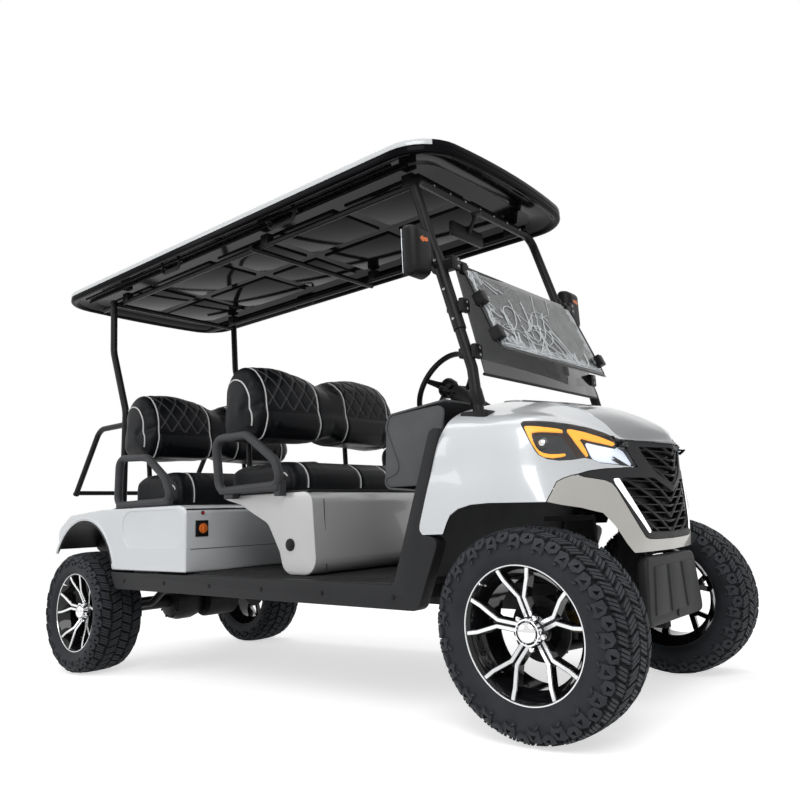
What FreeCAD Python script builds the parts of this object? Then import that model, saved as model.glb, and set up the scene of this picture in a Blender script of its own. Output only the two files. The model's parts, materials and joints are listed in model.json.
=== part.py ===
import FreeCAD, Part
import math
import os

from FreeCAD import Placement, Rotation, Vector

# A four-seat electric golf cart, in millimetres and degrees.
# +X is forward, +Y is the driver's left, +Z is up.
# Most pieces are drawn in the body frame: level body, front axle above front_axle_x.
# The ride placement then tips them nose-down by the rake about the front axle.

SIZES = [
    ("wheelbase", 2540, "distance between the axles"),
    ("overall_width", 1340, "outside faces of the tyres"),
    ("rake", 2.0, "nose-down tilt of the body, degrees"),
    ("centre_shift", 104, "moves the cart so that its length is centred on the origin"),
    ("tyre_radius", 292, "outside the lugs, 23 inch tyre"),
    ("tyre_width", 254, "section width"),
    ("lug_count", 21, "shoulder lugs on each side of a tyre"),
    ("lug_length", 62, "how far the gaps between lugs reach in from the side"),
    ("lug_gap", 15, "width of the gaps between lugs"),
    ("lug_depth", 14, "depth of the gaps between lugs"),
    ("lug_lean", 14, "slant of the gaps between lugs, degrees"),
    ("bead_radius", 178, "14 inch rim"),
    ("flange_radius", 192, "rim flange"),
    ("rim_width", 200, "over the flanges"),
    ("rim_wall", 8, "rim barrel thickness"),
    ("hub_radius", 52, "wheel hub"),
    ("spindle_radius", 20, "axle spindle"),
    ("axle_tube", 36, "rear axle tube radius"),
    ("disc_radius", 125, "brake disc or drum"),
    ("disc_thickness", 8, "brake disc"),
    ("wheel_face", 18, "wheel face inside the rim lip"),
    ("hub_depth", 110, "wheel face to the brake disc"),
    ("spindle_reach", 32, "end of the spindle behind the wheel face"),
    ("spoke_thickness", 26, "spoke depth along the axle"),
    ("cap_radius", 36, "domed hub cap"),
    ("kingpin_y", 440, "steering pivot from the centre line"),
    ("kingpin_radius", 16, "steering pivot"),
    ("steer_arm", 110, "steering arm behind the kingpin"),
    ("tie_rod_radius", 9, "tie rod"),
    ("pin_gap", 0.3, "running clearance at pins, bores and eyes"),
    ("seat_gap", 0.3, "clearance under what is lifted or only rests"),
    ("rail_y", 215, "chassis rail centre from the centre line"),
    ("rail_width", 50, "chassis rail"),
    ("rail_bottom", 300, "underside of the chassis rails"),
    ("rail_top", 388, "top of the chassis rails"),
    ("rail_rear_x", -1500, "rear end of the rails"),
    ("rail_front_x", 1440, "front end of the rails"),
    ("tower_rise", 300, "front damper tower above the front axle"),
    ("rear_tower_z", 600, "underside of the rear damper towers"),
    ("shock_y", 335, "rear trailing arms and dampers from the centre line"),
    ("arm_bracket_x", -905, "rear face of the trailing arm brackets"),
    ("hitch_z", 344, "height of the two hitch bolt holes"),
    ("hitch_hole", 6.5, "radius of the two hitch bolt holes"),
    ("hitch_spacing", 120, "between the two hitch bolt holes"),
    ("floor_z", 414, "walked-on floor"),
    ("floor_front_x", 790, "front end of the floor"),
    ("body_half_width", 612, "outside of the side panels"),
    ("sill_inner_y", 560, "inner face of the sill trim"),
    ("sill_bottom", 327, "underside of the sill trim"),
    ("panel_wall", 6, "body panel thickness"),
    ("rear_box_front_x", -371, "front face of the rear seat box"),
    ("rear_box_top", 704, "top of the rear seat box"),
    ("rear_end_x", -1545, "rear face of the body"),
    ("arch_radius", 300, "rear wheel arch"),
    ("arch_z", 350, "centre of the rear wheel arch"),
    ("wheelhouse_y", 395, "inner wall of the rear wheelhouses"),
    ("seat_half_width", 520, "seat cushions"),
    ("seat_base_half_width", 540, "front seat base"),
    ("seat_top", 737, "top flange of the front seat base"),
    ("seat_bar_y", 330, "bars behind the seat backs from the centre line"),
    ("seat_bar", 14, "seat bar radius"),
    ("arm_y", 573, "arm loop centre from the centre line"),
    ("arm_tube", 17, "arm loop radius"),
    ("pillar_y", 454, "screen hoop half width at the top"),
    ("pillar_tube", 19, "screen hoop and roof pole radius"),
    ("hoop_x", 839, "top bar of the screen hoop"),
    ("hoop_z", 1888, "top bar of the screen hoop"),
    ("pole_x", -1350, "top of the rear roof poles"),
    ("pole_y", 438, "rear roof poles from the centre line"),
    ("roof_rail_y", 385, "rails under the roof from the centre line"),
    ("roof_mid_x", -130, "cross tube at the middle of the roof"),
    ("roof_front_x", 1037, "front edge of the roof"),
    ("roof_rear_x", -1768, "rear edge of the roof"),
    ("roof_half_width", 575, "half width of the roof"),
    ("roof_rim_z", 1925, "lower rim of the roof"),
    ("roof_top_z", 1990, "top of the roof at its edge"),
    ("roof_wall", 6, "roof moulding thickness"),
    ("hinge_pin", 4, "windscreen hinge pin radius"),
    ("screen_half_width", 440, "windscreen panes"),
    ("steering_y", 300, "steering wheel centre from the centre line"),
    ("steering_x", 420, "steering wheel centre"),
    ("steering_z", 1215, "steering wheel centre"),
    ("steering_tilt", 35, "column above the horizontal, degrees"),
    ("steering_radius", 172, "steering wheel rim"),
    ("steering_grip", 13, "steering wheel rim section"),
]

doc = FreeCAD.newDocument("GolfCart")
sheet = doc.addObject("Spreadsheet::Sheet", "Sizes")
for row, (alias, number, meaning) in enumerate(SIZES, start=1):
    sheet.set("A%d" % row, meaning)
    sheet.set("B%d" % row, str(number))
    sheet.setAlias("B%d" % row, alias)
doc.recompute()


class Dimensions:
    """Every driving dimension, read from the sheet by its name."""

    def __getattr__(self, alias):
        return float(sheet.get(alias))


S = Dimensions()
FRONT_AXLE_X = S.wheelbase / 2
RAKE = math.radians(S.rake)

# Placements: shifted only, or shifted and tipped about the front axle
LEVEL = Placement(Vector(S.centre_shift, 0, 0), Rotation())
RIDE = Placement(
    Vector(S.centre_shift, 0, 0),
    Rotation(Vector(0, 1, 0), S.rake),
    Vector(FRONT_AXLE_X, 0, S.tyre_radius),
)


def in_body_frame(x, z):
    """A point of the level frame, given in the body frame."""
    dx = x - FRONT_AXLE_X
    dz = z - S.tyre_radius
    return (
        FRONT_AXLE_X + dx * math.cos(RAKE) - dz * math.sin(RAKE),
        S.tyre_radius + dx * math.sin(RAKE) + dz * math.cos(RAKE),
    )


REAR_AXLE = in_body_frame(-FRONT_AXLE_X, S.tyre_radius)
parts = {}


def keep(label, thing, placement):
    """Names a finished sub-part and puts it in its place."""
    thing.Label = label
    thing.Placement = placement
    parts[label] = thing
    return thing


# Drawing helpers


def outline(points):
    """A closed outline of lines, where a corner's third value is its round."""
    corners = []
    count = len(points)
    for i, point in enumerate(points):
        here = Vector(point[0], point[1], 0)
        before = Vector(points[i - 1][0], points[i - 1][1], 0)
        after = Vector(points[(i + 1) % count][0], points[(i + 1) % count][1], 0)
        radius = point[2] if len(point) > 2 else 0
        if radius == 0:
            corners.append((here, None, here))
            continue
        back = (before - here).normalize()
        forth = (after - here).normalize()
        half = back.getAngle(forth) / 2
        reach = radius / math.tan(half)
        middle = here + (back + forth).normalize() * (radius / math.sin(half) - radius)
        corners.append((here + back * reach, middle, here + forth * reach))
    curves = []
    for i, (start, middle, end) in enumerate(corners):
        if middle is not None:
            curves.append(Part.Arc(start, middle, end))
        following = corners[(i + 1) % count][0]
        if end.distanceToPoint(following) > 1e-6:
            curves.append(Part.LineSegment(end, following))
    return curves


def origin_feature(body, role):
    return next(f for f in body.Origin.OriginFeatures if f.Role == role)


def new_body(name):
    return doc.addObject("PartDesign::Body", name)


def draw(body, name, plane, outlines, offset="0"):
    """A sketch on one of the body's own planes, moved along its normal."""
    sketch = body.newObject("Sketcher::SketchObject", name)
    sketch.AttachmentSupport = [(origin_feature(body, plane), "")]
    sketch.MapMode = "FlatFace"
    sketch.setExpression("AttachmentOffset.Base.z", offset)
    for curves in outlines:
        sketch.addGeometry(curves, False)
    return sketch


def pad(body, name, plane, points, low, high):
    """A pad between two places on the plane's axis, each an expression."""
    offset = "-(%s)" % high if plane == "XZ_Plane" else low
    sketch = draw(body, name + "_sketch", plane, [outline(points)], offset)
    feature = body.newObject("PartDesign::Pad", name)
    feature.Profile = sketch
    feature.setExpression("Length", "(%s) - (%s)" % (high, low))
    return feature


def slab(name, plane, points, low, high):
    """A body that is one padded outline."""
    body = new_body(name)
    pad(body, name + "_pad", plane, points, low, high)
    return body


def block(name, x, y, z):
    """A box between two places on each axis, each an expression."""
    box = doc.addObject("Part::Box", name)
    for axis, side, (low, high) in (("x", "Length", x), ("y", "Width", y), ("z", "Height", z)):
        box.setExpression("Placement.Base." + axis, str(low))
        box.setExpression(side, "(%s) - (%s)" % (high, low))
    return box


def rod(name, start, end, radius):
    """A cylinder from one point to another; the radius is an expression."""
    start = Vector(*start)
    run = Vector(*end) - start
    cylinder = doc.addObject("Part::Cylinder", name)
    cylinder.setExpression("Radius", str(radius))
    cylinder.Height = run.Length
    cylinder.Placement = Placement(start, Rotation(Vector(0, 0, 1), run))
    return cylinder


def route(points, bend):
    """Straight runs joined by tangent arcs of one bend radius."""
    spots = [Vector(*p) for p in points]
    edges = []
    last = spots[0]
    for before, here, after in zip(spots, spots[1:], spots[2:]):
        back = (before - here).normalize()
        forth = (after - here).normalize()
        half = back.getAngle(forth) / 2
        reach = bend / math.tan(half)
        middle = here + (back + forth).normalize() * (bend / math.sin(half) - bend)
        edges.append(Part.LineSegment(last, here + back * reach).toShape())
        edges.append(Part.Arc(here + back * reach, middle, here + forth * reach).toShape())
        last = here + forth * reach
    edges.append(Part.LineSegment(last, spots[-1]).toShape())
    return Part.Wire(edges)


def tube(name, points, radius, bend):
    """A round bar swept along runs and bends."""
    path = doc.addObject("Part::Feature", name + "_path")
    path.Shape = route(points, bend)
    ring = doc.addObject("Part::Circle", name + "_ring")
    ring.setExpression("Radius", str(radius))
    run = Vector(*points[1]) - Vector(*points[0])
    ring.Placement = Placement(Vector(*points[0]), Rotation(Vector(0, 0, 1), run))
    sweep = doc.addObject("Part::Sweep", name)
    sweep.Sections = [ring]
    sweep.Spine = (path, ["Edge%d" % (i + 1) for i in range(len(path.Shape.Edges))])
    sweep.Solid = True
    return sweep


def mirrored(name, thing):
    mirror = doc.addObject("Part::Mirroring", name)
    mirror.Source = thing
    mirror.Normal = Vector(0, 1, 0)
    return mirror


def group(name, things):
    """Pieces that don't touch, kept as one sub-part."""
    compound = doc.addObject("Part::Compound", name)
    compound.Links = things
    return compound


def fuse(name, things):
    fused = doc.addObject("Part::MultiFuse", name)
    fused.Shapes = things
    fused.Refine = True
    return fused


def cut(name, base, tool):
    result = doc.addObject("Part::Cut", name)
    result.Base = base
    result.Tool = tool
    return result


def common(name, first, second):
    result = doc.addObject("Part::Common", name)
    result.Base = first
    result.Tool = second
    return result


def both_sides(name, thing):
    return group(name, [thing, mirrored(name + "_mirror", thing)])


def spun(body, name, points):
    """A ring about the Y axis: points are (place along Y, radius)."""
    sketch = draw(body, name + "_sketch", "XY_Plane", [outline([(r, y) for y, r in points])])
    feature = body.newObject("PartDesign::Revolution", name)
    feature.Profile = sketch
    feature.ReferenceAxis = (sketch, ["V_Axis"])
    feature.Angle = 360
    return feature


# Wheels: the right-hand one is drawn about the origin with its outside towards -Y

OVERREACH = 10
HALF_RIM = S.rim_width / 2
HALF_TYRE = S.tyre_width / 2


def tyre(name):
    body = new_body(name)
    bead = S.bead_radius + S.pin_gap
    lip = S.flange_radius + 4
    seat = HALF_RIM - 16
    half = [
        (seat, bead),
        (seat, lip),
        (HALF_RIM + 4, lip + 4),
        (HALF_TYRE, (S.tyre_radius + bead) / 2),
        (HALF_TYRE - 4, S.tyre_radius - 22),
        (HALF_TYRE - 22, S.tyre_radius),
    ]
    spun(body, name + "_ring", half + [(-y, r) for y, r in reversed(half)])
    return cut(name + "_lugs", body, shoulder_gaps(name + "_gaps"))


def shoulder_gaps(name):
    """Slots that part the shoulder lugs, staggered from one side to the other."""
    slots = []
    length = S.lug_length + OVERREACH
    pitch = 360 / S.lug_count
    for sign in (-1, 1):
        for k in range(int(S.lug_count)):
            start = HALF_TYRE - S.lug_length if sign > 0 else -HALF_TYRE - OVERREACH
            corner = Vector(-S.lug_gap / 2, start, S.tyre_radius - S.lug_depth)
            slot = Part.makeBox(S.lug_gap, length, S.lug_depth * 2, corner)
            slot.rotate(Vector(0, sign * HALF_TYRE, 0), Vector(0, 0, 1), sign * S.lug_lean)
            slot.rotate(Vector(0, 0, 0), Vector(0, 1, 0), pitch * (k + 0.25 * sign))
            slots.append(slot)
    tool = doc.addObject("Part::Feature", name)
    tool.Shape = Part.makeCompound(slots)
    return tool


def rim(name):
    """Barrel, hub, brake disc and five forked spokes."""
    body = new_body(name)
    seat = S.bead_radius
    well = seat - 18
    wall = S.rim_wall
    outside = [
        (-HALF_RIM, S.flange_radius),
        (-HALF_RIM + 12, S.flange_radius),
        (-HALF_RIM + 16, seat),
        (-HALF_RIM + 36, seat),
        (-HALF_RIM + 56, well),
        (HALF_RIM - 56, well),
        (HALF_RIM - 36, seat),
        (HALF_RIM - 16, seat),
        (HALF_RIM - 12, S.flange_radius),
        (HALF_RIM, S.flange_radius),
    ]
    inside = [
        (HALF_RIM, S.flange_radius - wall),
        (HALF_RIM - 36, seat - wall),
        (HALF_RIM - 56, well - wall),
        (-HALF_RIM + 56, well - wall),
        (-HALF_RIM + 36, seat - wall),
        (-HALF_RIM, S.flange_radius - wall),
    ]
    spun(body, name + "_barrel", outside + inside)
    face = -HALF_RIM + S.wheel_face
    bore = S.spindle_radius + S.pin_gap
    disc_y = face + S.hub_depth
    hub = [
        (face - 14, 0),
        (face - 14, S.cap_radius - 12),
        (face - 2, S.cap_radius),
        (face, S.hub_radius),
        (disc_y, S.hub_radius),
        (disc_y, S.disc_radius),
        (disc_y + S.disc_thickness, S.disc_radius),
        (disc_y + S.disc_thickness, bore),
        (face + 30, bore),
        (face + 30, 0),
    ]
    spun(body, name + "_hub", hub)
    root = S.hub_radius - 8
    tip = seat - wall / 2
    fork = tip * 0.55
    fork_half = 13
    lean = math.radians(19)
    arm = 10

    def polar(radius, angle, aside):
        return (
            radius * math.sin(angle) + aside * math.cos(angle),
            radius * math.cos(angle) - aside * math.sin(angle),
        )

    spoke = [
        (-15, root),
        (15, root),
        (fork_half + 9, fork),
        polar(tip, lean, arm),
        polar(tip, lean, -arm),
        (0, fork + 14),
        polar(tip, -lean, arm),
        polar(tip, -lean, -arm),
        (-fork_half - 9, fork),
    ]
    first = pad(
        body,
        name + "_spoke",
        "XZ_Plane",
        spoke,
        "%r" % face,
        "%r + Sizes.spoke_thickness" % face,
    )
    ring = body.newObject("PartDesign::PolarPattern", name + "_spokes")
    ring.Originals = [first]
    ring.Axis = (origin_feature(body, "Y_Axis"), [""])
    ring.Angle = 360
    ring.Occurrences = 5
    body.Tip = ring
    return body


WHEEL_Y = S.overall_width / 2 - HALF_TYRE
for place, x in (("front", FRONT_AXLE_X), ("rear", -FRONT_AXLE_X)):
    for side, sign in (("right", -1), ("left", 1)):
        turn = Rotation(Vector(0, 0, 1), 0 if sign < 0 else 180)
        spot = Placement(Vector(x + S.centre_shift, sign * WHEEL_Y, S.tyre_radius), turn)
        keep("tyre_%s_%s" % (place, side), tyre("tyre_%s_%s" % (place, side)), spot)
        keep("rim_%s_%s" % (place, side), rim("rim_%s_%s" % (place, side)), spot)

# Front suspension and steering, drawn level

FACE_Y = WHEEL_Y + HALF_RIM - S.wheel_face
DISC_INNER_Y = FACE_Y - S.hub_depth - S.disc_thickness
SPINDLE_END_Y = FACE_Y - S.spindle_reach
KINGPIN_HALF = 85


def knuckle(name):
    """Kingpin, spindle, steering arm and brake caliper of the right side."""
    x = FRONT_AXLE_X
    y = -S.kingpin_y
    z = S.tyre_radius
    low = (x, y, z - KINGPIN_HALF)
    high = (x, y, z + KINGPIN_HALF)
    kingpin = rod(name + "_pin", low, high, "Sizes.kingpin_radius")
    upright = block(
        name + "_upright",
        (x - 28, x + 28),
        ("-Sizes.kingpin_y - 16", "-Sizes.kingpin_y + 22"),
        (z - 48, z + 48),
    )
    spindle = rod(name + "_spindle", (x, y, z), (x, -SPINDLE_END_Y, z), "Sizes.spindle_radius")
    arm = block(
        name + "_arm",
        ("%r - Sizes.steer_arm - 14" % x, x),
        ("-Sizes.kingpin_y - 12", "-Sizes.kingpin_y + 12"),
        (z - 48, z - 34),
    )
    caliper = block(
        name + "_caliper",
        (x + 10, x + 105),
        ("-Sizes.kingpin_y - 8", "-Sizes.kingpin_y + 22"),
        (z - 20, z + 40),
    )
    return fuse(name, [kingpin, upright, spindle, arm, caliper])


def arm_with_eye(name, z):
    """A wishbone of the right side, with an eye round the kingpin."""
    x = FRONT_AXLE_X
    y = S.kingpin_y
    inner = S.rail_y + S.rail_width / 2
    blade = slab(
        name + "_blade",
        "XY_Plane",
        [(x - 75, -inner), (x + 75, -inner), (x + 20, -y), (x - 20, -y)],
        "%r" % (z - 10),
        "%r" % (z + 10),
    )
    eye = rod(name + "_eye", (x, -y, z - 12), (x, -y, z + 12), 28)
    bore = rod(name + "_bore", (x, -y, z - 20), (x, -y, z + 20), "Sizes.kingpin_radius + Sizes.pin_gap")
    window = slab(
        name + "_window",
        "XY_Plane",
        [(x - 40, -inner - 20), (x + 40, -inner - 20), (x + 8, -y + 60), (x - 8, -y + 60)],
        "%r" % (z - 20),
        "%r" % (z + 20),
    )
    solid = fuse(name + "_solid", [blade, eye])
    return cut(name, solid, fuse(name + "_cuts", [bore, window]))


def build_front_suspension():
    z = S.tyre_radius
    lower = arm_with_eye("lower_arm", z - 66)
    upper = arm_with_eye("upper_arm", z + 66)
    x = FRONT_AXLE_X
    damper = rod("front_damper", (x, -345, z - 54), (x, -300, z + S.tower_rise - 2.2), 14)
    coil = rod("front_coil", (x, -338, z + 60), (x, -305, z + 250), 36)
    shock = cut("front_shock", fuse("front_shock_solid", [damper, coil]), upper)
    side = group("front_suspension_right", [lower, upper, shock])
    keep("front_suspension", both_sides("front_suspension", side), LEVEL)


def build_steering_links():
    right = knuckle("knuckle_right_solid")
    left = mirrored("knuckle_left_solid", knuckle("knuckle_left_drawn"))
    keep("knuckle_right", right, LEVEL)
    keep("knuckle_left", left, LEVEL)
    x = FRONT_AXLE_X - S.steer_arm
    z = S.tyre_radius - 48 - 12 - S.pin_gap
    y = S.kingpin_y
    bar = rod("tie_rod_bar", (x, -y, z), (x, y, z), "Sizes.tie_rod_radius")
    ends = [
        rod("tie_rod_end_%d" % i, (x, side * y, z - 12), (x, side * y, z + 12), 14)
        for i, side in enumerate((-1, 1))
    ]
    keep("tie_rod", fuse("tie_rod", [bar] + ends), LEVEL)


build_front_suspension()
build_steering_links()

# Chassis and rear axle, drawn in the body frame

SHOCK_X = REAR_AXLE[0] - 70
SHOCK_FOOT_RISE = 24


def build_chassis():
    rails = []
    inner = "(Sizes.rail_y - Sizes.rail_width / 2)"
    outer = "(Sizes.rail_y + Sizes.rail_width / 2)"
    along = ("Sizes.rail_rear_x", "Sizes.rail_front_x")
    height = ("Sizes.rail_bottom", "Sizes.rail_top")
    rails.append(block("rail_left", along, (inner, outer), height))
    rails.append(block("rail_right", along, ("-" + outer, "-" + inner), height))
    for i, x in enumerate((S.rail_rear_x, -1010, -400, 340, 760, S.rail_front_x - S.rail_width)):
        rails.append(block("cross_%d" % i, (x, x + S.rail_width), ("-" + inner, inner), height))
    rib_y = ("-Sizes.sill_inner_y", "Sizes.sill_inner_y")
    for i, x in enumerate((-900, -340, 300, 740)):
        rails.append(block("rib_%d" % i, (x, x + 40), rib_y, ("Sizes.rail_top - 45", "Sizes.rail_top")))
    front_x = (FRONT_AXLE_X - 60, FRONT_AXLE_X + 90)
    bracket_x = ("Sizes.arm_bracket_x", "Sizes.arm_bracket_x + 40")
    for i, side in enumerate((-1, 1)):
        low = side * S.rail_y - S.rail_width / 2
        hanger_z = (S.tyre_radius - 84, "Sizes.rail_bottom + 5")
        rails.append(block("hanger_%d" % i, front_x, (low, low + S.rail_width), hanger_z))
        middle = side * S.shock_y
        bracket_z = (S.rail_bottom - 4, "Sizes.rail_top - 40")
        rails.append(block("arm_bracket_%d" % i, bracket_x, (middle - 20, middle + 20), bracket_z))
        towers = (
            ("front", FRONT_AXLE_X, S.tyre_radius + S.tower_rise),
            ("rear", SHOCK_X, S.rear_tower_z),
        )
        for place, x, z in towers:
            span = sorted((side * 190, side * 370))
            leg = sorted((side * 190, side * 210))
            name = "tower_%s_%d" % (place, i)
            rails.append(block(name, (x - 45, x + 45), span, (z, z + 16)))
            rails.append(block(name + "_leg", (x - 45, x + 45), leg, ("Sizes.rail_top - 5", z + 16)))
    frame = fuse("chassis_solid", rails)
    holes = []
    for i, y in enumerate((-S.hitch_spacing / 2, S.hitch_spacing / 2)):
        start = (S.rail_rear_x - 5, y, S.hitch_z)
        end = (S.rail_rear_x + S.rail_width + 5, y, S.hitch_z)
        holes.append(rod("hitch_hole_%d" % i, start, end, "Sizes.hitch_hole"))
    keep("chassis_frame", cut("chassis_frame", frame, group("hitch_holes", holes)), RIDE)


build_chassis()


def build_rear_axle():
    x, z = REAR_AXLE
    y_end = SPINDLE_END_Y
    y_tube = DISC_INNER_Y - 12
    pieces = [
        rod("axle_tube", (x, -y_tube, z), (x, y_tube, z), "Sizes.axle_tube"),
        rod("axle_shaft", (x, -y_end, z), (x, y_end, z), "Sizes.spindle_radius"),
        rod("diff", (x, -95, z), (x, 95, z), 105),
        rod("motor", (x + 60, 95, z - 8), (x + 60, 300, z - 8), 92),
    ]
    keep("rear_axle", fuse("rear_axle", pieces), RIDE)


build_rear_axle()


def build_rear_suspension():
    """Trailing arms and coil dampers, seated round the axle tube."""
    x, z = REAR_AXLE
    y = -S.shock_y
    arm_end = (S.arm_bracket_x + 5, y, S.rail_bottom + 22)
    arm = tube("trailing_arm", [(x + 30, y, z), (x + 220, y, z + 25), arm_end], 18, 120)
    damper = rod("rear_damper", (SHOCK_X, y, z + 20), (SHOCK_X, y, S.rear_tower_z - S.seat_gap), 14)
    coil = rod("rear_coil", (SHOCK_X, y, z + 110), (SHOCK_X, y, S.rear_tower_z - 80), 38)
    foot_z = (z - 14, z + SHOCK_FOOT_RISE)
    foot = block("rear_damper_foot", (SHOCK_X - 20, SHOCK_X + 50), (y - 22, y + 22), foot_z)
    shock = fuse("rear_shock", [damper, coil, foot])
    axle = rod("rear_axle_clear", (x, y - 60, z), (x, y + 60, z), "Sizes.axle_tube")
    stop_x = ("Sizes.arm_bracket_x - Sizes.seat_gap", "Sizes.arm_bracket_x + 60")
    stop = block("trailing_arm_stop", stop_x, (y - 40, y + 40), (S.rail_bottom - 50, "Sizes.rail_top"))
    pieces = group("rear_suspension_pieces", [arm, shock])
    seated = cut("rear_suspension_right", pieces, group("rear_suspension_cuts", [axle, stop]))
    keep("rear_suspension", both_sides("rear_suspension", seated), RIDE)


build_rear_suspension()

# Floor, sills and battery


def box_points(x_low, x_high, z_low, z_high):
    return [(x_low, z_low), (x_high, z_low), (x_high, z_high), (x_low, z_high)]


def build_floor():
    points = box_points(S.rear_box_front_x, S.floor_front_x, S.rail_top, S.floor_z)
    half = "Sizes.sill_inner_y"
    keep("floor_pan", slab("floor_pan", "XZ_Plane", points, "-" + half, half), RIDE)


def build_battery():
    low = S.rail_top + S.seat_gap
    points = box_points(-960, -440, low, low + 230)
    keep("battery_block", slab("battery_block", "XZ_Plane", points, "-360", "360"), RIDE)


def build_sills():
    top = S.floor_z - 10
    points = [
        (-985, top),
        (-940, S.sill_bottom),
        (860, S.sill_bottom, 12),
        (889, S.sill_bottom + 6),
        (988, 555),
        (902, 563),
        (1014, 900),
        (972, 900),
        (S.floor_front_x, top, 60),
    ]
    outer = "-Sizes.body_half_width - 3"
    right = slab("sill_right", "XZ_Plane", points, outer, "-Sizes.sill_inner_y")
    keep("sill_trims", both_sides("sill_trims", right), RIDE)


build_floor()
build_sills()
build_battery()


# Front body: a lofted shell that is split where its panels meet


# The nose in sections: x, half widths at five heights, those heights, and the crown's height
STATIONS = [
    (880, (612, 606, 590, 520, 240), (650, 760, 860, 945, 1012), 1030),
    (1000, (612, 606, 596, 505, 243), (650, 760, 880, 955, 1012), 1038),
    (1100, (612, 605, 585, 484, 260), (650, 760, 886, 951, 1005), 1027),
    (1230, (604, 592, 553, 440, 297), (650, 760, 894, 944, 981), 1003),
    (1310, (590, 559, 516, 400, 300), (650, 760, 889, 926, 957), 982),
    (1370, (530, 474, 446, 364, 299), (650, 760, 872, 901, 932), 958),
    (1420, (388, 357, 350, 308, 277), (650, 760, 850, 869, 888), 935),
    (1455, (265, 253, 254, 248, 240), (650, 760, 832, 840, 848), 914),
    (1480, (172, 170, 168, 165, 160), (650, 750, 828, 836, 844), 897),
    (1505, (60, 78, 82, 82, 80), (650, 748, 827, 834, 842), 874),
    (1527, (5, 8, 10, 10, 10), (650, 745, 826, 832, 838), 846),
]
SKIRT_Z = 440
NOSE_HEART = (1150, 0, 720)
NOSE_HALVES = (377, 612, 318)
ACROSS = ("-700", "700")


def nose_form(name, inset):
    """The closed nose, drawn in towards its heart by the inset and then longer at the open rear."""

    def place(x, y, z):
        inner = [h + (v - h) * (1 - inset / half) for v, h, half in zip((x, y, z), NOSE_HEART, NOSE_HALVES)]
        if x == STATIONS[0][0]:
            inner[0] = x - (OVERREACH if inset else 0)
        if z == SKIRT_Z:
            inner[2] = z - inset
        return Vector(*inner)

    wires = []
    for x, widths, heights, crown in STATIONS:
        half = [(widths[0], SKIRT_Z)] + list(zip(widths, heights))
        points = [place(x, -w, h) for w, h in half]
        points.append(place(x, 0, crown))
        points += [place(x, w, h) for w, h in reversed(half)]
        wires.append(Part.makePolygon(points + [points[0]]))
    feature = doc.addObject("Part::Feature", name)
    feature.Shape = Part.makeLoft(wires, True, False)
    return feature


def build_front_body():
    outer = nose_form("nose_outer", 0)
    inner = nose_form("nose_inner", S.panel_wall)
    side_view = slab(
        "nose_side_view",
        "XZ_Plane",
        [(902, 563), (1001, 565), (1033, 623, 60), (1110, 654, 60), (1350, 654, 40), (1424, 618, 10), (1459, 491),
         (1600, 480), (1600, 1100), (1060, 1100), (1014, 900)],
        *ACROSS,
    )
    shell = common("nose_shell", cut("nose_hollow", outer, inner), side_view)
    hood_zone = slab(
        "hood_zone",
        "XY_Plane",
        [(1085, -130), (1095, -236), (1150, -272), (1235, -297), (1364, -300), (1413, -284), (1463, -232),
         (1600, -200), (1600, 200), (1463, 232), (1413, 284), (1364, 300), (1235, 297), (1150, 272),
         (1095, 236), (1085, 130)],
        "829",
        "1200",
    )
    half_grille = [(-232, 900), (-232, 836), (-194, 756), (-260, 751), (-333, 748), (-403, 741), (-455, 730),
                   (-448, 724), (-392, 718), (-346, 712), (-302, 686), (-266, 629), (-221, 558), (-186, 528)]
    grille_zone = slab(
        "grille_zone",
        "YZ_Plane",
        half_grille + [(-y, z) for y, z in reversed(half_grille)],
        "1370",
        "1700",
    )
    lamp_zone = slab(
        "lamp_zone",
        "XZ_Plane",
        [(1267, 889), (1280, 897), (1339, 891), (1371, 884), (1404, 873), (1430, 857), (1453, 838), (1474, 752),
         (1422, 765), (1399, 780), (1379, 774), (1357, 772), (1336, 777), (1318, 790), (1308, 807), (1292, 842)],
        *ACROSS,
    )
    bumper_zone = slab(
        "bumper_zone",
        "XZ_Plane",
        [(1347, 600), (1347, 652), (1358, 709), (1391, 732), (1600, 732), (1600, 400), (1347, 400)],
        *ACROSS,
    )
    hood = common("hood_piece", shell, hood_zone)
    rest = cut("shell_no_hood", shell, hood_zone)
    surround = common("surround_piece", rest, grille_zone)
    rest = cut("shell_no_grille", rest, grille_zone)
    lamps = common("lamp_piece", rest, lamp_zone)
    rest = cut("shell_no_lamps", rest, lamp_zone)
    bumper = common("bumper_piece", rest, bumper_zone)
    rest = cut("shell_rest", rest, bumper_zone)
    keep("grille", build_grille(surround), RIDE)
    keep("headlights", lamps, RIDE)
    keep("hood_panel", hood, RIDE)
    keep("front_bumper", bumper, RIDE)
    keep("front_cowl", rest, RIDE)
    return outer


def build_grille(surround):
    """The surround with its two openings."""
    upper = [(-176, 815), (176, 815), (122, 750), (93, 731), (0, 694), (-93, 731), (-122, 750)]
    lower = [(-267, 716), (-117, 716), (-62, 693), (0, 668), (62, 693), (117, 716), (267, 716), (222, 630),
             (160, 551), (0, 545), (-160, 551), (-222, 630)]
    openings = group("grille_openings", [
        slab("upper_opening", "YZ_Plane", upper, "1300", "1700"),
        slab("lower_opening", "YZ_Plane", lower, "1300", "1700"),
    ])
    return cut("surround_open", surround, openings)


COWL_OUTER = build_front_body()

# Tow cover, dashboard and controls


def build_tow_cover():
    body = slab(
        "tow_cover",
        "YZ_Plane",
        [(-249, 268, 20), (249, 268, 20), (214, 476, 25), (-214, 476, 25)],
        "Sizes.rail_front_x",
        "1482",
    )
    keep("tow_cover", body, RIDE)


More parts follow.
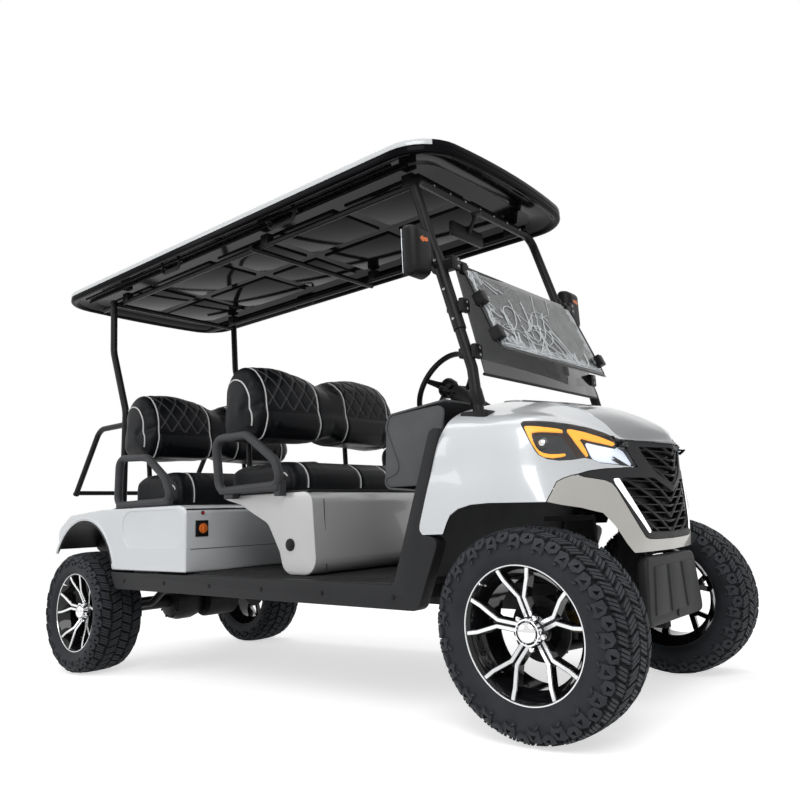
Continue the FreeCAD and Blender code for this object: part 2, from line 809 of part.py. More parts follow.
def ribbon(points, thickness):
    """An outline that follows a bent line with one thickness on its left."""
    spots = [Vector(x, z, 0) for x, z in points]
    normals = []
    for before, after in zip(spots, spots[1:]):
        run = (after - before).normalize()
        normals.append(Vector(-run.y, run.x, 0))
    offset = []
    for i, spot in enumerate(spots):
        first = normals[max(i - 1, 0)]
        second = normals[min(i, len(normals) - 1)]
        middle = (first + second).normalize()
        offset.append(spot + middle * (thickness / middle.dot(first)))
    return [(p.x, p.y) for p in spots] + [(p.x, p.y) for p in reversed(offset)]


# The cabin side of the firewall, shelf and dash, from the floor up
DASH_LINE = [
    (S.floor_front_x, S.floor_z),
    (900, 700),
    (735, 718),
    (728, 760),
    (800, 772),
    (742, 925),
    (760, 975),
    (1010, 1000),
]


def build_dashboard():
    half = "Sizes.sill_inner_y"
    keep("dashboard", slab("dashboard", "XZ_Plane", ribbon(DASH_LINE, -S.panel_wall), "-" + half, half), RIDE)


def build_steering_wheel():
    tilt = math.radians(S.steering_tilt)
    along = Vector(math.cos(tilt), 0, -math.sin(tilt))
    centre = Vector(S.steering_x, S.steering_y, S.steering_z)
    turn = Rotation(Vector(0, 0, 1), along * -1)
    ring = doc.addObject("Part::Torus", "steering_ring")
    ring.setExpression("Radius1", "Sizes.steering_radius")
    ring.setExpression("Radius2", "Sizes.steering_grip")
    ring.Placement = Placement(centre, turn)
    pieces = [ring]
    hub_end = centre + along * 45
    pieces.append(rod("steering_hub", centre - along * 12, hub_end, 48))
    for i, angle in enumerate((0, 180, 270)):
        turned = Rotation(along * -1, angle)
        side = turned.multVec(Vector(0, 1, 0)) * S.steering_radius
        pieces.append(rod("steering_spoke_%d" % i, centre + along * 14, centre + side, 11))
    keep("steering_wheel", fuse("steering_wheel", pieces), RIDE)
    start = hub_end + along * S.seat_gap
    column = rod("column_tube", start, centre + along * 480, 26)
    shroud = rod("column_shroud", start + along * 20, centre + along * 250, 42)
    whole = fuse("column_solid", [column, shroud])
    clear = slab(
        "column_limit",
        "XZ_Plane",
        DASH_LINE + [(1200, 1000), (1200, 300)],
        "-600",
        "600",
    )
    keep("steering_column", cut("steering_column", whole, clear), RIDE)


def dash_x(z):
    """The firewall's cabin face at a height, less the clearance."""
    (x0, z0), (x1, z1) = DASH_LINE[:2]
    return x0 + (x1 - x0) * (z - z0) / (z1 - z0) - S.seat_gap


def build_pedals():
    pads = []
    for i, (y, width) in enumerate(((210, 70), (330, 60))):
        pads.append(
            slab(
                "pedal_%d" % i,
                "XZ_Plane",
                [(700, 440), (712, 436), (760, 560), (dash_x(585), 585), (dash_x(597), 597), (750, 572)],
                "%d" % (y - width // 2),
                "%d" % (y + width // 2),
            )
        )
    keep("pedals", group("pedals", pads), RIDE)


build_tow_cover()
build_dashboard()
build_steering_wheel()
build_pedals()

# Seats


def build_front_seat_base():
    outer = [
        (-187, S.seat_top),
        (-187, 715, 10),
        (-80, 690, 60),
        (-10, 655, 40),
        (90, 610, 90),
        (158, 500, 120),
        (180, S.floor_z),
        (365, S.floor_z, 20),
        (349, 700, 20),
        (322, S.seat_top),
    ]
    inner = [
        (-160, S.seat_top + 5),
        (-160, 722),
        (-70, 698, 60),
        (0, 662, 40),
        (98, 614, 90),
        (166, 500, 120),
        (188, S.floor_z - 5),
        (358, S.floor_z - 5),
        (342, 694, 20),
        (310, S.seat_top + 5),
    ]
    half = "Sizes.seat_base_half_width"
    inside = "(Sizes.seat_base_half_width - Sizes.panel_wall)"
    solid = slab("seat_base_outer", "XZ_Plane", outer, "-" + half, half)
    hollow = slab("seat_base_inner", "XZ_Plane", inner, "-" + inside, inside)
    keep("front_seat_base", cut("front_seat_base", solid, hollow), RIDE)


def cushion(name, points):
    return slab(name, "XZ_Plane", points, "-Sizes.seat_half_width", "Sizes.seat_half_width")


def seat_back(name, points, front_x, rear_x):
    """Side view and front view of a two-humped seat back, in common."""
    side = slab(name + "_side", "XZ_Plane", points, "-600", "600")
    low = min(z for x, z, *r in points) - 5
    top = max(z for x, z, *r in points)
    width = S.seat_half_width - 15
    front = [
        (-width, low), (width, low), (width, top - 120, 60), (400, top, 60), (80, top - 10, 50),
        (0, top - 105, 60), (-80, top - 10, 50), (-400, top, 60), (-width, top - 120, 60),
    ]
    outline_body = slab(name + "_front", "YZ_Plane", front, "%r" % rear_x, "%r" % front_x)
    return common(name, side, outline_body)


def build_seats():
    low = S.seat_top + S.seat_gap
    front = [(-190, low, 20), (225, low, 25), (205, 835, 35), (140, 850, 50), (-190, 838, 30)]
    keep("front_seat_cushion", cushion("front_seat_cushion", front), RIDE)
    low = S.rear_box_top + S.seat_gap
    rear = [(-955, low, 20), (-556, low, 25), (-575, 845, 40), (-640, 860, 50), (-955, 850, 30)]
    keep("rear_seat_cushion", cushion("rear_seat_cushion", rear), RIDE)
    front_back = [
        (-40, 975, 30),
        (-60, 1200),
        (-120, 1330, 40),
        (-200, 1346, 40),
        (-262, 1240, 60),
        (-265, 1000, 40),
        (-180, 960, 40),
    ]
    front_form = seat_back("front_back_form", front_back, 0, -300)
    rear_back = [(x - 846, z - 18, *r) for x, z, *r in front_back]
    rear_form = seat_back("rear_back_form", rear_back, -846, -1160)
    keep("front_seat_back", group("front_seat_back", [front_form]), RIDE)
    keep("rear_seat_back", group("rear_seat_back", [rear_form]), RIDE)
    return [front_form, rear_form]


def build_seat_frames(seat_backs, rear_outer):
    """Upright bars behind each seat back, on the seat base and the rear deck."""
    bars = []
    for i, side in enumerate((-1, 1)):
        y = side * S.seat_bar_y
        run = [(-268, y, 724), (-277, y, 1000), (-277, y, 1230)]
        bar = tube("front_bar_%d" % i, run, "Sizes.seat_bar", 200)
        foot = block("front_foot_%d" % i, (-282, -187), (y - 20, y + 20), (718, 732))
        bars.append(fuse("front_upright_%d" % i, [bar, foot]))
        run = [(-1085, y, 700), (-1122, y, 1000), (-1122, y, 1210)]
        bars.append(tube("rear_bar_%d" % i, run, "Sizes.seat_bar", 200))
    clear = group("seat_bar_cuts", seat_backs + [rear_outer])
    keep("seat_frames", cut("seat_frames", group("seat_bars", bars), clear), RIDE)


def arm_loop(name, points):
    """One D-shaped arm rest loop at the right side."""
    spots = [(x, -S.arm_y, z) for x, z in points]
    return tube(name, spots, "Sizes.arm_tube", 38)


def build_arm_rests():
    low = S.rear_box_top + S.arm_tube + S.seat_gap
    front = [(-120, 748), (-180, 748), (-160, 985), (10, 975), (185, 852), (215, 765), (-100, 748)]
    rear = [(-870, low), (-1015, low), (-990, 955), (-740, 940), (-590, 835), (-520, low + 12), (-850, low)]
    across = ("-Sizes.arm_y", "-Sizes.seat_base_half_width")
    brackets = [
        block("arm_rest_bracket_%d" % i, (x - half, x + half), across, (716, z))
        for i, (x, half, z) in enumerate(((-115, 30, 748), (190, 18, 790)))
    ]
    loops = [
        fuse("front_arm_rest", [arm_loop("front_arm_loop", front)] + brackets),
        arm_loop("rear_arm_loop", rear),
    ]
    keep("arm_rests", both_sides("arm_rests", group("arm_rests_right", loops)), RIDE)


# Rear body


def rear_form(name, inset, low):
    x, z = S.rear_box_front_x - inset, S.rear_box_top - inset
    points = [
        (x, low),
        (x, 688 - inset, 12),
        (x - 60, z),
        (-1100, z),
        (-1420, z - 20, 60),
        (S.rear_end_x + inset, 610, 40),
        (S.rear_end_x + 15 + inset, 505),
        (-1300, low),
    ]
    half = "Sizes.body_half_width - %r" % inset
    block_form = slab(name + "_form", "XZ_Plane", points, "-(%s)" % half, half)
    arches = []
    for i, side in enumerate((-1, 1)):
        near = side * (S.wheelhouse_y - inset)
        far = side * (S.body_half_width + 20)
        radius = S.arch_radius + inset
        start = (REAR_AXLE[0], near, S.arch_z)
        end = (REAR_AXLE[0], far, S.arch_z)
        arches.append(rod("%s_arch_%d" % (name, i), start, end, radius))
        width = (REAR_AXLE[0] - radius, REAR_AXLE[0] + radius)
        arches.append(block("%s_gap_%d" % (name, i), width, sorted((near, far)), (200, S.arch_z)))
    return cut(name, block_form, fuse(name + "_arches", arches))


def build_rear_body():
    outer = rear_form("rear_outer", 0, S.floor_z)
    inner = rear_form("rear_inner", S.panel_wall, S.floor_z - 10)
    keep("rear_body", cut("rear_body", outer, inner), RIDE)
    lamp_x = ("Sizes.rear_end_x - 6", "Sizes.rear_end_x + 14")
    lamp = block("tail_lamp", lamp_x, (-560, -470), (560, 600))
    keep("tail_lamps", cut("tail_lamps", both_sides("tail_lamp_pair", lamp), outer), RIDE)
    return outer


def build_bag_rack():
    tube_radius = 16
    y = S.pole_y - S.pillar_tube - tube_radius - S.seat_gap
    arm = tube("rack_arm", [(-1146, -y, 1168), (-1520, -y, 1168), (-1770, -y, 812)], tube_radius, 80)
    other = mirrored("rack_arm_left", arm)
    bar = rod("rack_bar", (-1766, -y, 818), (-1766, y, 818), 13)
    keep("bag_rack", fuse("bag_rack", [arm, other, bar]), RIDE)


REAR_OUTER = build_rear_body()
build_bag_rack()
build_front_seat_base()
build_seat_frames(build_seats(), REAR_OUTER)
build_arm_rests()

# Roof, screen and mirrors


def roof_plan(inset):
    corner = 170 - inset
    half = S.roof_half_width - inset
    rear = S.roof_rear_x + inset
    front = S.roof_front_x - inset
    return [(rear, -half, corner), (front, -half, corner), (front, half, corner), (rear, half, corner)]


def build_roof():
    inside = roof_plan(30)
    top = slab("roof_form", "XY_Plane", roof_plan(0), "Sizes.roof_rim_z", "Sizes.roof_top_z")
    high = "Sizes.roof_top_z - Sizes.roof_wall"
    hollow = slab("roof_hollow", "XY_Plane", inside, "Sizes.roof_rim_z - 10", high)
    keep("roof", cut("roof", top, hollow), RIDE)
    low = "Sizes.roof_rim_z + 12"
    keep("roof_lining", slab("roof_lining", "XY_Plane", inside, low, low + " + Sizes.roof_wall"), RIDE)


def build_roof_frame(cowl_outer):
    y = S.pillar_y
    z = S.hoop_z
    right = [(1100, -496, 880), (1062, -470, 1104), (S.hoop_x, -y, z)]
    left = [(x, -side, height) for x, side, height in reversed(right)]
    hoop = tube("screen_hoop", right + left, "Sizes.pillar_tube", 55)
    pieces = [cut("hoop_trimmed", hoop, cowl_outer)]
    pad_z = ("Sizes.hoop_z", "Sizes.roof_rim_z + 12")
    for i, side in enumerate((-1, 1)):
        y = side * S.pole_y
        run = [(-1185, y, S.rear_box_top), (-1185, y, 1230), (-1333, y, 1588), (S.pole_x, y, z + 8)]
        pieces.append(tube("rear_pole_%d" % i, run, "Sizes.pillar_tube", 60))
        y = side * S.roof_rail_y
        pieces.append(rod("roof_rail_%d" % i, (S.hoop_x, y, z + 4), (S.pole_x - 200, y, z + 4), 14))
        for j, x in enumerate((S.hoop_x - 60, S.roof_mid_x + 60, S.pole_x + 60)):
            name = "roof_pad_%d_%d" % (i, j)
            pieces.append(block(name, (x - 25, x + 25), (y - 18, y + 18), pad_z))
    for i, x in enumerate((S.pole_x, S.roof_mid_x)):
        pieces.append(rod("roof_cross_%d" % i, (x, -S.pole_y, z - 10), (x, S.pole_y, z - 10), 13))
    keep("roof_frame", fuse("roof_frame", pieces), RIDE)
    return hoop


HINGE = (1006, 1506)


def build_windscreen(hoop):
    """A fixed lower pane, clamps on the pillars, and an upper pane folded down on its hinge."""
    x, z = HINGE
    half = "Sizes.screen_half_width"
    pane = [(1088, 1086), (1093, 1087), (1002, 1490), (997, 1489)]
    lower = slab("lower_pane", "XZ_Plane", pane, "-" + half, half)
    clamps = []
    for i, (cx, cz) in enumerate(((1070, 1160), (1032, 1330), (x, z - 14))):
        points = box_points(cx - 62, cx + 12, cz - 14, cz + 22)
        clamps.append(slab("clamp_%d" % i, "XZ_Plane", points, "-470", "-426"))
    pin = rod("hinge_pin", (x, -450, z), (x, -385, z), "Sizes.hinge_pin")
    swing = rod("hinge_swing", (x, -428, z), (x, -370, z), 13)
    tools = group("clamp_cuts", [lower, hoop, swing])
    solid = cut("clamp_right", fuse("clamp_solid", clamps), tools)
    pinned = fuse("clamp_pinned", [solid, pin])
    keep("windscreen_lower", group("windscreen_lower", [lower]), RIDE)
    keep("screen_clamps", both_sides("screen_clamps", pinned), RIDE)
    low = "-Sizes.screen_half_width + 20"
    folded = [(x + 2, z - 9), (x + 8, z - 5), (1152, 1163), (1146, 1161)]
    pane = slab("upper_pane", "XZ_Plane", folded, low, "Sizes.screen_half_width - 20")
    barrel = rod("hinge_barrel", (x, -424, z), (x, -380, z), 9)
    bore = rod("hinge_bore", (x, -470, z), (x, -380, z), "Sizes.hinge_pin + Sizes.pin_gap")
    solid = fuse("upper_solid", [pane, barrel, mirrored("hinge_barrel_left", barrel)])
    bores = group("hinge_bores", [bore, mirrored("hinge_bore_left", bore)])
    keep("windscreen_upper", cut("windscreen_upper", solid, bores), RIDE)


def build_mirrors(hoop):
    housing = slab(
        "mirror_housing",
        "YZ_Plane",
        [(-640, 1430, 30), (-520, 1430, 30), (-520, 1625, 40), (-640, 1625, 40)],
        "905",
        "975",
    )
    stalk = rod("mirror_stalk", (955, -525, 1500), (945, -460, 1490), 9)
    side = fuse("mirror_right", [housing, stalk])
    pair = cut("mirrors_cut", both_sides("mirror_pair", side), hoop)
    keep("mirrors", pair, RIDE)


build_roof()
HOOP = build_roof_frame(COWL_OUTER)
build_windscreen(HOOP)
build_mirrors(HOOP)

doc.recompute()
os.makedirs("parts", exist_ok=True)
for item in doc.Objects:
    if "Invalid" in item.State or "Error" in item.State:
        raise RuntimeError("%s failed: %s" % (item.Label, item.State))
for label, item in parts.items():
    shape = item.Shape
    if shape.isNull() or not shape.isValid():
        raise RuntimeError(label + " has no valid shape")
    shape.exportStep("parts/%s.step" % label)
    print(label, len(shape.Solids), round(shape.Volume / 1000))
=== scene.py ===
# %% [markdown]
# # A four-seat golf cart, dressed over its fixed frame
#
# The cart stands on four wheels with tall block treads. Its body leans two degrees nose-down on its
# axles. Everything on the body is drawn here level and in millimetres, as a body draughtsman would,
# and one matrix then tips it, shifts it and turns millimetres into metres. The wheels and the front
# suspension stay level, so they have a matrix of their own.

# %% The frame and its box
import json
import math
import random

import bpy
from mathutils import Matrix, Vector
from mathutils.bvhtree import BVHTree
from mathutils.geometry import interpolate_bezier


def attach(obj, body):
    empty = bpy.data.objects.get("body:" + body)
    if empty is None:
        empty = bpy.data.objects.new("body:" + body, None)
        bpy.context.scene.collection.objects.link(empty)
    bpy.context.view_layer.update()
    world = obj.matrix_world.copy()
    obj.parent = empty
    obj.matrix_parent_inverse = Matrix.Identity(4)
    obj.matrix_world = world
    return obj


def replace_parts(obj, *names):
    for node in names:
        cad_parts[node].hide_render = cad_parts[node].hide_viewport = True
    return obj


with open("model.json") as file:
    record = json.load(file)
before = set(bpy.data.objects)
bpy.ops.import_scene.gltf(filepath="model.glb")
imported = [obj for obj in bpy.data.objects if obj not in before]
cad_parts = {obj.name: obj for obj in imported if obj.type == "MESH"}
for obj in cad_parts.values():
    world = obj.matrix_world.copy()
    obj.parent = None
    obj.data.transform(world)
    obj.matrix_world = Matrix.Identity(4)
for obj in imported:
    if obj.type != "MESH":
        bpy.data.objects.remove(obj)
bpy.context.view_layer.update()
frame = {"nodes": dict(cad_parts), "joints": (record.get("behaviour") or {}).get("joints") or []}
nodes = frame["nodes"]
print("frame nodes:", len(nodes))

# %% The two placements
MM = 0.001
RAKE = math.radians(2.0)
WHEELBASE = 2540
axle_x, axle_y, axle_z = next(j["pos_m"] for j in frame["joints"] if j["name"] == "roll_front_right")
AXLE_X = WHEELBASE / 2
AXLE_Z = axle_z / MM
WHEEL_Y = abs(axle_y) / MM
to_metres = Matrix.Scale(MM, 4)
at_front_axle = Matrix.Translation((axle_x, 0, axle_z))
RIDE = at_front_axle @ Matrix.Rotation(RAKE, 4, "Y") @ to_metres @ Matrix.Translation((-AXLE_X, 0, -AXLE_Z))
LEVEL = at_front_axle @ to_metres @ Matrix.Translation((-AXLE_X, 0, -AXLE_Z))
print("front axle in the frame:", round(axle_x, 4), round(axle_z, 4))

# %% [markdown]
# ## A few ways of making shapes
#
# A modeller at the desk selects one thing at a time. These helpers do the same in code: they clear the
# selection, pick one piece, and hand it to the ordinary operators. Flat pressed or moulded parts come
# from an outline that is filled and extruded. Turned parts come from half a profile that is spun.
# Bent bars come from a curve with a round section.

# %% Selecting and finishing
WELD = 0.01
SHARP = math.radians(60)


def alone(piece):
    """One piece selected and active, in object mode."""
    bpy.ops.object.select_all(action="DESELECT")
    piece.select_set(True)
    bpy.context.view_layer.objects.active = piece
    return piece


def edit_all(piece):
    """Edit mode with everything selected."""
    alone(piece)
    bpy.ops.object.mode_set(mode="EDIT")
    bpy.ops.mesh.select_all(action="SELECT")


def leave_edit():
    bpy.ops.object.mode_set(mode="OBJECT")


def modify(piece, kind, **settings):
    """Adds one modifier and applies it at once."""
    alone(piece)
    modifier = piece.modifiers.new(kind.lower(), kind)
    for key, value in settings.items():
        setattr(modifier, key, value)
    bpy.ops.object.modifier_apply(modifier=modifier.name)
    return piece


def joined(name, pieces):
    """Several pieces made one."""
    bpy.ops.object.select_all(action="DESELECT")
    for piece in pieces:
        piece.select_set(True)
    bpy.context.view_layer.objects.active = pieces[0]
    if len(pieces) > 1:
        bpy.ops.object.join()
    whole = bpy.context.object
    whole.name = name
    whole.data.name = name
    return whole


def copied(piece, name, matrix=None):
    """A copy with a mesh of its own."""
    twin = bpy.data.objects.new(name, piece.data.copy())
    bpy.context.scene.collection.objects.link(twin)
    if matrix is not None:
        twin.data.transform(matrix)
        if matrix.determinant() < 0:
            twin.data.flip_normals()
    return twin


def facing_out(piece, merge=0.0, capped=False):
    """Merges corners that meet, fills open ends where asked and turns every face outwards."""
    edit_all(piece)
    if merge:
        bpy.ops.mesh.remove_doubles(threshold=merge)
    if capped:
        bpy.ops.mesh.select_all(action="DESELECT")
        bpy.ops.mesh.select_non_manifold()
        bpy.ops.mesh.fill_holes(sides=0)
        bpy.ops.mesh.select_all(action="SELECT")
    bpy.ops.mesh.normals_make_consistent(inside=False)
    leave_edit()
    return piece


def eased(piece, width, segments=2, **limit):
    """Rounds the sharp edges of a piece."""
    return modify(piece, "BEVEL", width=width, segments=segments, limit_method="ANGLE", **limit)


def placed(piece, place, turn=0.0):
    """Turns a piece about the cart's length and carries it to its place."""
    piece.data.transform(Matrix.Translation(place) @ Matrix.Rotation(turn, 4, "X"))
    return piece


def settle(piece, material, body="root", where=RIDE, angle=35):
    """Shades a finished piece, gives it its finish and puts it on its body."""
    alone(piece)
    bpy.ops.object.shade_smooth_by_angle(angle=math.radians(angle))
    piece.data.materials.clear()
    piece.data.materials.append(material)
    piece.data.transform(where)
    piece.data.update()
    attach(piece, body)
    return piece


# %% Plates drawn on a plane


def spot(axis, a, b, along):
    """A place on a drawing plane: the axis is the one that the plane faces."""
    if axis == "X":
        return Vector((along, a, b))
    if axis == "Y":
        return Vector((a, along, b))
    return Vector((a, b, along))


def ring(outline, low, axis):
    """A circle of as many corners as the outline, moved onto it."""
    bpy.ops.object.select_all(action="DESELECT")
    bpy.ops.mesh.primitive_circle_add(vertices=len(outline))
    circle = bpy.context.object
    for vertex, (a, b) in zip(circle.data.vertices, outline):
        vertex.co = spot(axis, a, b, low)
    return circle


def plate(name, outline, low, high, axis="Y", holes=()):
    """A closed outline, with any holes, filled and extruded from low to high."""
    piece = joined(name, [ring(shape, low, axis) for shape in (outline, *holes)])
    edit_all(piece)
    if holes:
        bpy.ops.mesh.fill()
    else:
        bpy.ops.mesh.edge_face_add()
    if high != low:
        step = spot(axis, 0, 0, high - low)
        bpy.ops.mesh.extrude_region_move(TRANSFORM_OT_translate={"value": tuple(step)})
    bpy.ops.mesh.select_all(action="SELECT")
    bpy.ops.mesh.normals_make_consistent(inside=False)
    leave_edit()
    return piece


# %% Rounded lines and bent bars
PULL = 0.45


def rounded(points, bend, steps=6):
    """A run of points whose corners are rounded with one bend."""
    spots = [Vector(p) for p in points]
    path = [spots[0]]
    for before, here, after in zip(spots, spots[1:], spots[2:]):
        back = (before - here).normalized()
        forth = (after - here).normalized()
        half = back.angle(forth) / 2
        reach = min(bend / math.tan(half), (before - here).length * 0.48, (after - here).length * 0.48)
        start = here + back * reach
        end = here + forth * reach
        path += interpolate_bezier(start, here + back * reach * PULL, here + forth * reach * PULL, end, steps)
    path.append(spots[-1])
    return path


def rounded_flat(points, bend, steps=6):
    """A flat outline whose corners are rounded with one bend."""
    return [(p[0], p[1]) for p in rounded([(a, b, 0) for a, b in points], bend, steps)]


def curve(name, path, radius, closed=False, sides=4):
    """A round bar along a path, as a mesh with closed ends."""
    data = bpy.data.curves.new(name, "CURVE")
    data.dimensions = "3D"
    data.bevel_depth = radius
    data.bevel_resolution = sides
    data.use_fill_caps = not closed
    spline = data.splines.new("POLY")
    spline.points.add(len(path) - 1)
    for point, place in zip(spline.points, path):
        point.co = (*place, 1)
    spline.use_cyclic_u = closed
    piece = bpy.data.objects.new(name, data)
    bpy.context.scene.collection.objects.link(piece)
    alone(piece)
    bpy.ops.object.convert(target="MESH")
    return bpy.context.object


def bar(name, points, radius, bend=40, sides=4):
    return curve(name, rounded(points, bend), radius, sides=sides)


# %% Turned parts, blocks, discs and sheets


def turned(name, profile, steps=72, closed=True):
    """A profile of (place on the cross axis, radius), spun a full turn."""
    mesh = bpy.data.meshes.new(name)
    places = [(radius, along, 0) for along, radius in profile]
    edges = [(i, i + 1) for i in range(len(places) - 1)]
    if closed:
        edges.append((len(places) - 1, 0))
    mesh.from_pydata(places, edges, [])
    piece = bpy.data.objects.new(name, mesh)
    bpy.context.scene.collection.objects.link(piece)
    modify(piece, "SCREW", axis="Y", angle=math.tau, steps=steps, render_steps=steps, use_merge_vertices=True)
    return facing_out(piece, WELD)


def box(name, low, high, round_edge=3, segments=3):
    """A moulded block between two corners, with its edges rounded."""
    bpy.ops.object.select_all(action="DESELECT")
    bpy.ops.mesh.primitive_cube_add(size=1)
    piece = bpy.context.object
    piece.name = name
    size = [b - a for a, b in zip(low, high)]
    middle = [(a + b) / 2 for a, b in zip(low, high)]
    piece.data.transform(Matrix.Translation(middle) @ Matrix.Diagonal((*size, 1)))
    if round_edge:
        eased(piece, round_edge, segments)
    return piece


def disc(name, centre, direction, radius, depth, round_edge=1.5, sides=32):
    """A short turned button or rod from its centre along a direction."""
    bpy.ops.object.select_all(action="DESELECT")
    bpy.ops.mesh.primitive_cylinder_add(vertices=sides, radius=radius, depth=depth)
    piece = bpy.context.object
    piece.name = name
    if round_edge:
        eased(piece, round_edge)
    turn = Vector(direction).to_track_quat("Z", "Y").to_matrix().to_4x4()
    piece.data.transform(Matrix.Translation(Vector(centre)) @ turn)
    return piece


def grid(name, rows):
    """A sheet of points in rows and columns."""
    high, wide = len(rows), len(rows[0])
    bpy.ops.object.select_all(action="DESELECT")
    bpy.ops.mesh.primitive_grid_add(x_subdivisions=wide - 1, y_subdivisions=high - 1)
    piece = bpy.context.object
    piece.name = name
    for vertex, place in zip(piece.data.vertices, (p for row in rows for p in row)):
        vertex.co = place
    return piece


# %% [markdown]
# ## Finishes
#
# Every finish starts from the same physically based shader. Its plain numbers sit on the shader's own
# sockets. What varies over the surface, such as flake in the paint, pores in the plastic and grain in
# the leather, is a noise that drives the colour a little and the bump more. All of them read Object
# coordinates, which are metres here, so a scale of 1000 makes a feature about a millimetre wide.

# %% A finish with colour variation and grain
GRAIN_DEPTH = 0.0006


def dial(node, **values):
    """Sets sockets by their names, with underscores for spaces."""
    for name, value in values.items():
        node.inputs[name.replace("_", " ")].default_value = value


def finish(name, colour, roughness, metallic=0.0, coat=0.0, specular=0.2, vary=0.06, vary_scale=9.0,
           grain=0.0, grain_scale=900.0, rough_vary=0.0, cells=False):
    """A shader whose colour drifts a little and whose surface has a fine grain."""
    material = bpy.data.materials.new(name)
    material.use_nodes = True
    tree = material.node_tree
    shader = tree.nodes["Principled BSDF"]
    dial(shader, Roughness=roughness, Metallic=metallic, Specular_IOR_Level=specular)
    dial(shader, Coat_Weight=coat, Coat_Roughness=0.04)
    coordinates = tree.nodes.new("ShaderNodeTexCoord")
    drift = tree.nodes.new("ShaderNodeTexNoise")
    dial(drift, Scale=vary_scale, Detail=4.0)
    tree.links.new(coordinates.outputs["Object"], drift.inputs["Vector"])
    ramp = tree.nodes.new("ShaderNodeValToRGB")
    ramp.color_ramp.elements[0].position = 0.3
    ramp.color_ramp.elements[1].position = 0.7
    ramp.color_ramp.elements[0].color = (*[c * (1 - vary) for c in colour], 1)
    ramp.color_ramp.elements[1].color = (*[min(1, c * (1 + vary)) for c in colour], 1)
    tree.links.new(drift.outputs["Fac"], ramp.inputs["Fac"])
    tree.links.new(ramp.outputs["Color"], shader.inputs["Base Color"])
    if rough_vary:
        spread = tree.nodes.new("ShaderNodeMapRange")
        dial(spread, To_Min=max(0.02, roughness - rough_vary), To_Max=min(1.0, roughness + rough_vary))
        tree.links.new(drift.outputs["Fac"], spread.inputs["Value"])
        tree.links.new(spread.outputs["Result"], shader.inputs["Roughness"])
    if grain:
        if cells:
            pores = tree.nodes.new("ShaderNodeTexVoronoi")
            pores.feature = "DISTANCE_TO_EDGE"
            height = pores.outputs["Distance"]
        else:
            pores = tree.nodes.new("ShaderNodeTexNoise")
            dial(pores, Detail=3.0)
            height = pores.outputs["Fac"]
        dial(pores, Scale=grain_scale)
        tree.links.new(coordinates.outputs["Object"], pores.inputs["Vector"])
        bump = tree.nodes.new("ShaderNodeBump")
        dial(bump, Strength=grain, Distance=GRAIN_DEPTH)
        tree.links.new(height, bump.inputs["Height"])
        tree.links.new(bump.outputs["Normal"], shader.inputs["Normal"])
    return material


# %% The cart's paints, plastics, metals and rubber
pearl_paint = finish("pearl_paint", (0.64, 0.66, 0.68), 0.32, metallic=0.12, coat=1.0, vary=0.02,
                     vary_scale=3, grain=0.04, grain_scale=2600)
hood_paint = finish("hood_paint", (0.22, 0.23, 0.24), 0.30, metallic=0.35, coat=1.0, vary=0.01,
                    vary_scale=4, grain=0.05, grain_scale=2600)
sand_paint = finish("sand_paint", (0.46, 0.45, 0.42), 0.34, metallic=0.3, coat=0.8, vary=0.03,
                    vary_scale=4, grain=0.05, grain_scale=2600)
# The seat base's silver: partly its own tone, and partly painted shade, which makes it darker than the body's
# pearl paint.
silver_paint_with_painted_shade = finish("silver_paint_with_painted_shade", (0.50, 0.505, 0.50), 0.34, metallic=0.25, coat=0.8, vary=0.03,
                      vary_scale=4, grain=0.05, grain_scale=2600)
charcoal_plastic = finish("charcoal_plastic", (0.017, 0.0175, 0.019), 0.52, vary=0.15, grain=0.35,
                          grain_scale=1400, rough_vary=0.06)
black_plastic = finish("black_plastic", (0.009, 0.009, 0.010), 0.42, specular=0.15, vary=0.2, grain=0.25,
                       grain_scale=1400)
gloss_black = finish("gloss_black", (0.006, 0.006, 0.007), 0.08, coat=0.3, vary=0.2, vary_scale=5)
roof_gloss = finish("roof_gloss", (0.004, 0.004, 0.005), 0.10, specular=0.03, vary=0.3, vary_scale=5)
frame_paint = finish("frame_paint", (0.010, 0.010, 0.011), 0.38, specular=0.15, vary=0.2, grain=0.2,
                     grain_scale=1800)
arm_grey = finish("arm_grey", (0.045, 0.046, 0.050), 0.5, vary=0.1, grain=0.25, grain_scale=1500)
dash_grey = finish("dash_grey", (0.085, 0.087, 0.092), 0.55, vary=0.1, grain=0.5, grain_scale=1100,
                   cells=True)
# Painted shade in the tyre: the rubber between the lugs is near black and the lugs are lighter than the
# carcass, so the grooves read as shaded.
tyre_rubber = finish("tyre_rubber", (0.022, 0.024, 0.028), 0.62, vary=0.25, vary_scale=14, grain=0.3,
                     grain_scale=1500, rough_vary=0.08)
groove_painted_shade = finish("groove_painted_shade", (0.006, 0.006, 0.007), 0.8, vary=0.2, vary_scale=30)
tread_rubber = finish("tread_rubber", (0.034, 0.037, 0.042), 0.66, vary=0.25, vary_scale=30, grain=0.4,
                      grain_scale=1300, rough_vary=0.08)
dark_steel = finish("dark_steel", (0.018, 0.018, 0.019), 0.5, metallic=0.4, vary=0.3, vary_scale=30,
                    grain=0.2)
bare_steel = finish("bare_steel", (0.33, 0.33, 0.33), 0.38, metallic=1.0, vary=0.2, vary_scale=40,
                    grain=0.1)
chrome = finish("chrome", (0.80, 0.80, 0.81), 0.06, metallic=1.0, vary=0.02)
machined_alloy = finish("machined_alloy", (0.72, 0.73, 0.74), 0.24, metallic=1.0, vary=0.05,
                        vary_scale=60, grain=0.08, grain_scale=2200)
caliper_gold = finish("caliper_gold", (0.30, 0.22, 0.06), 0.4, metallic=0.6, vary=0.25, vary_scale=50)
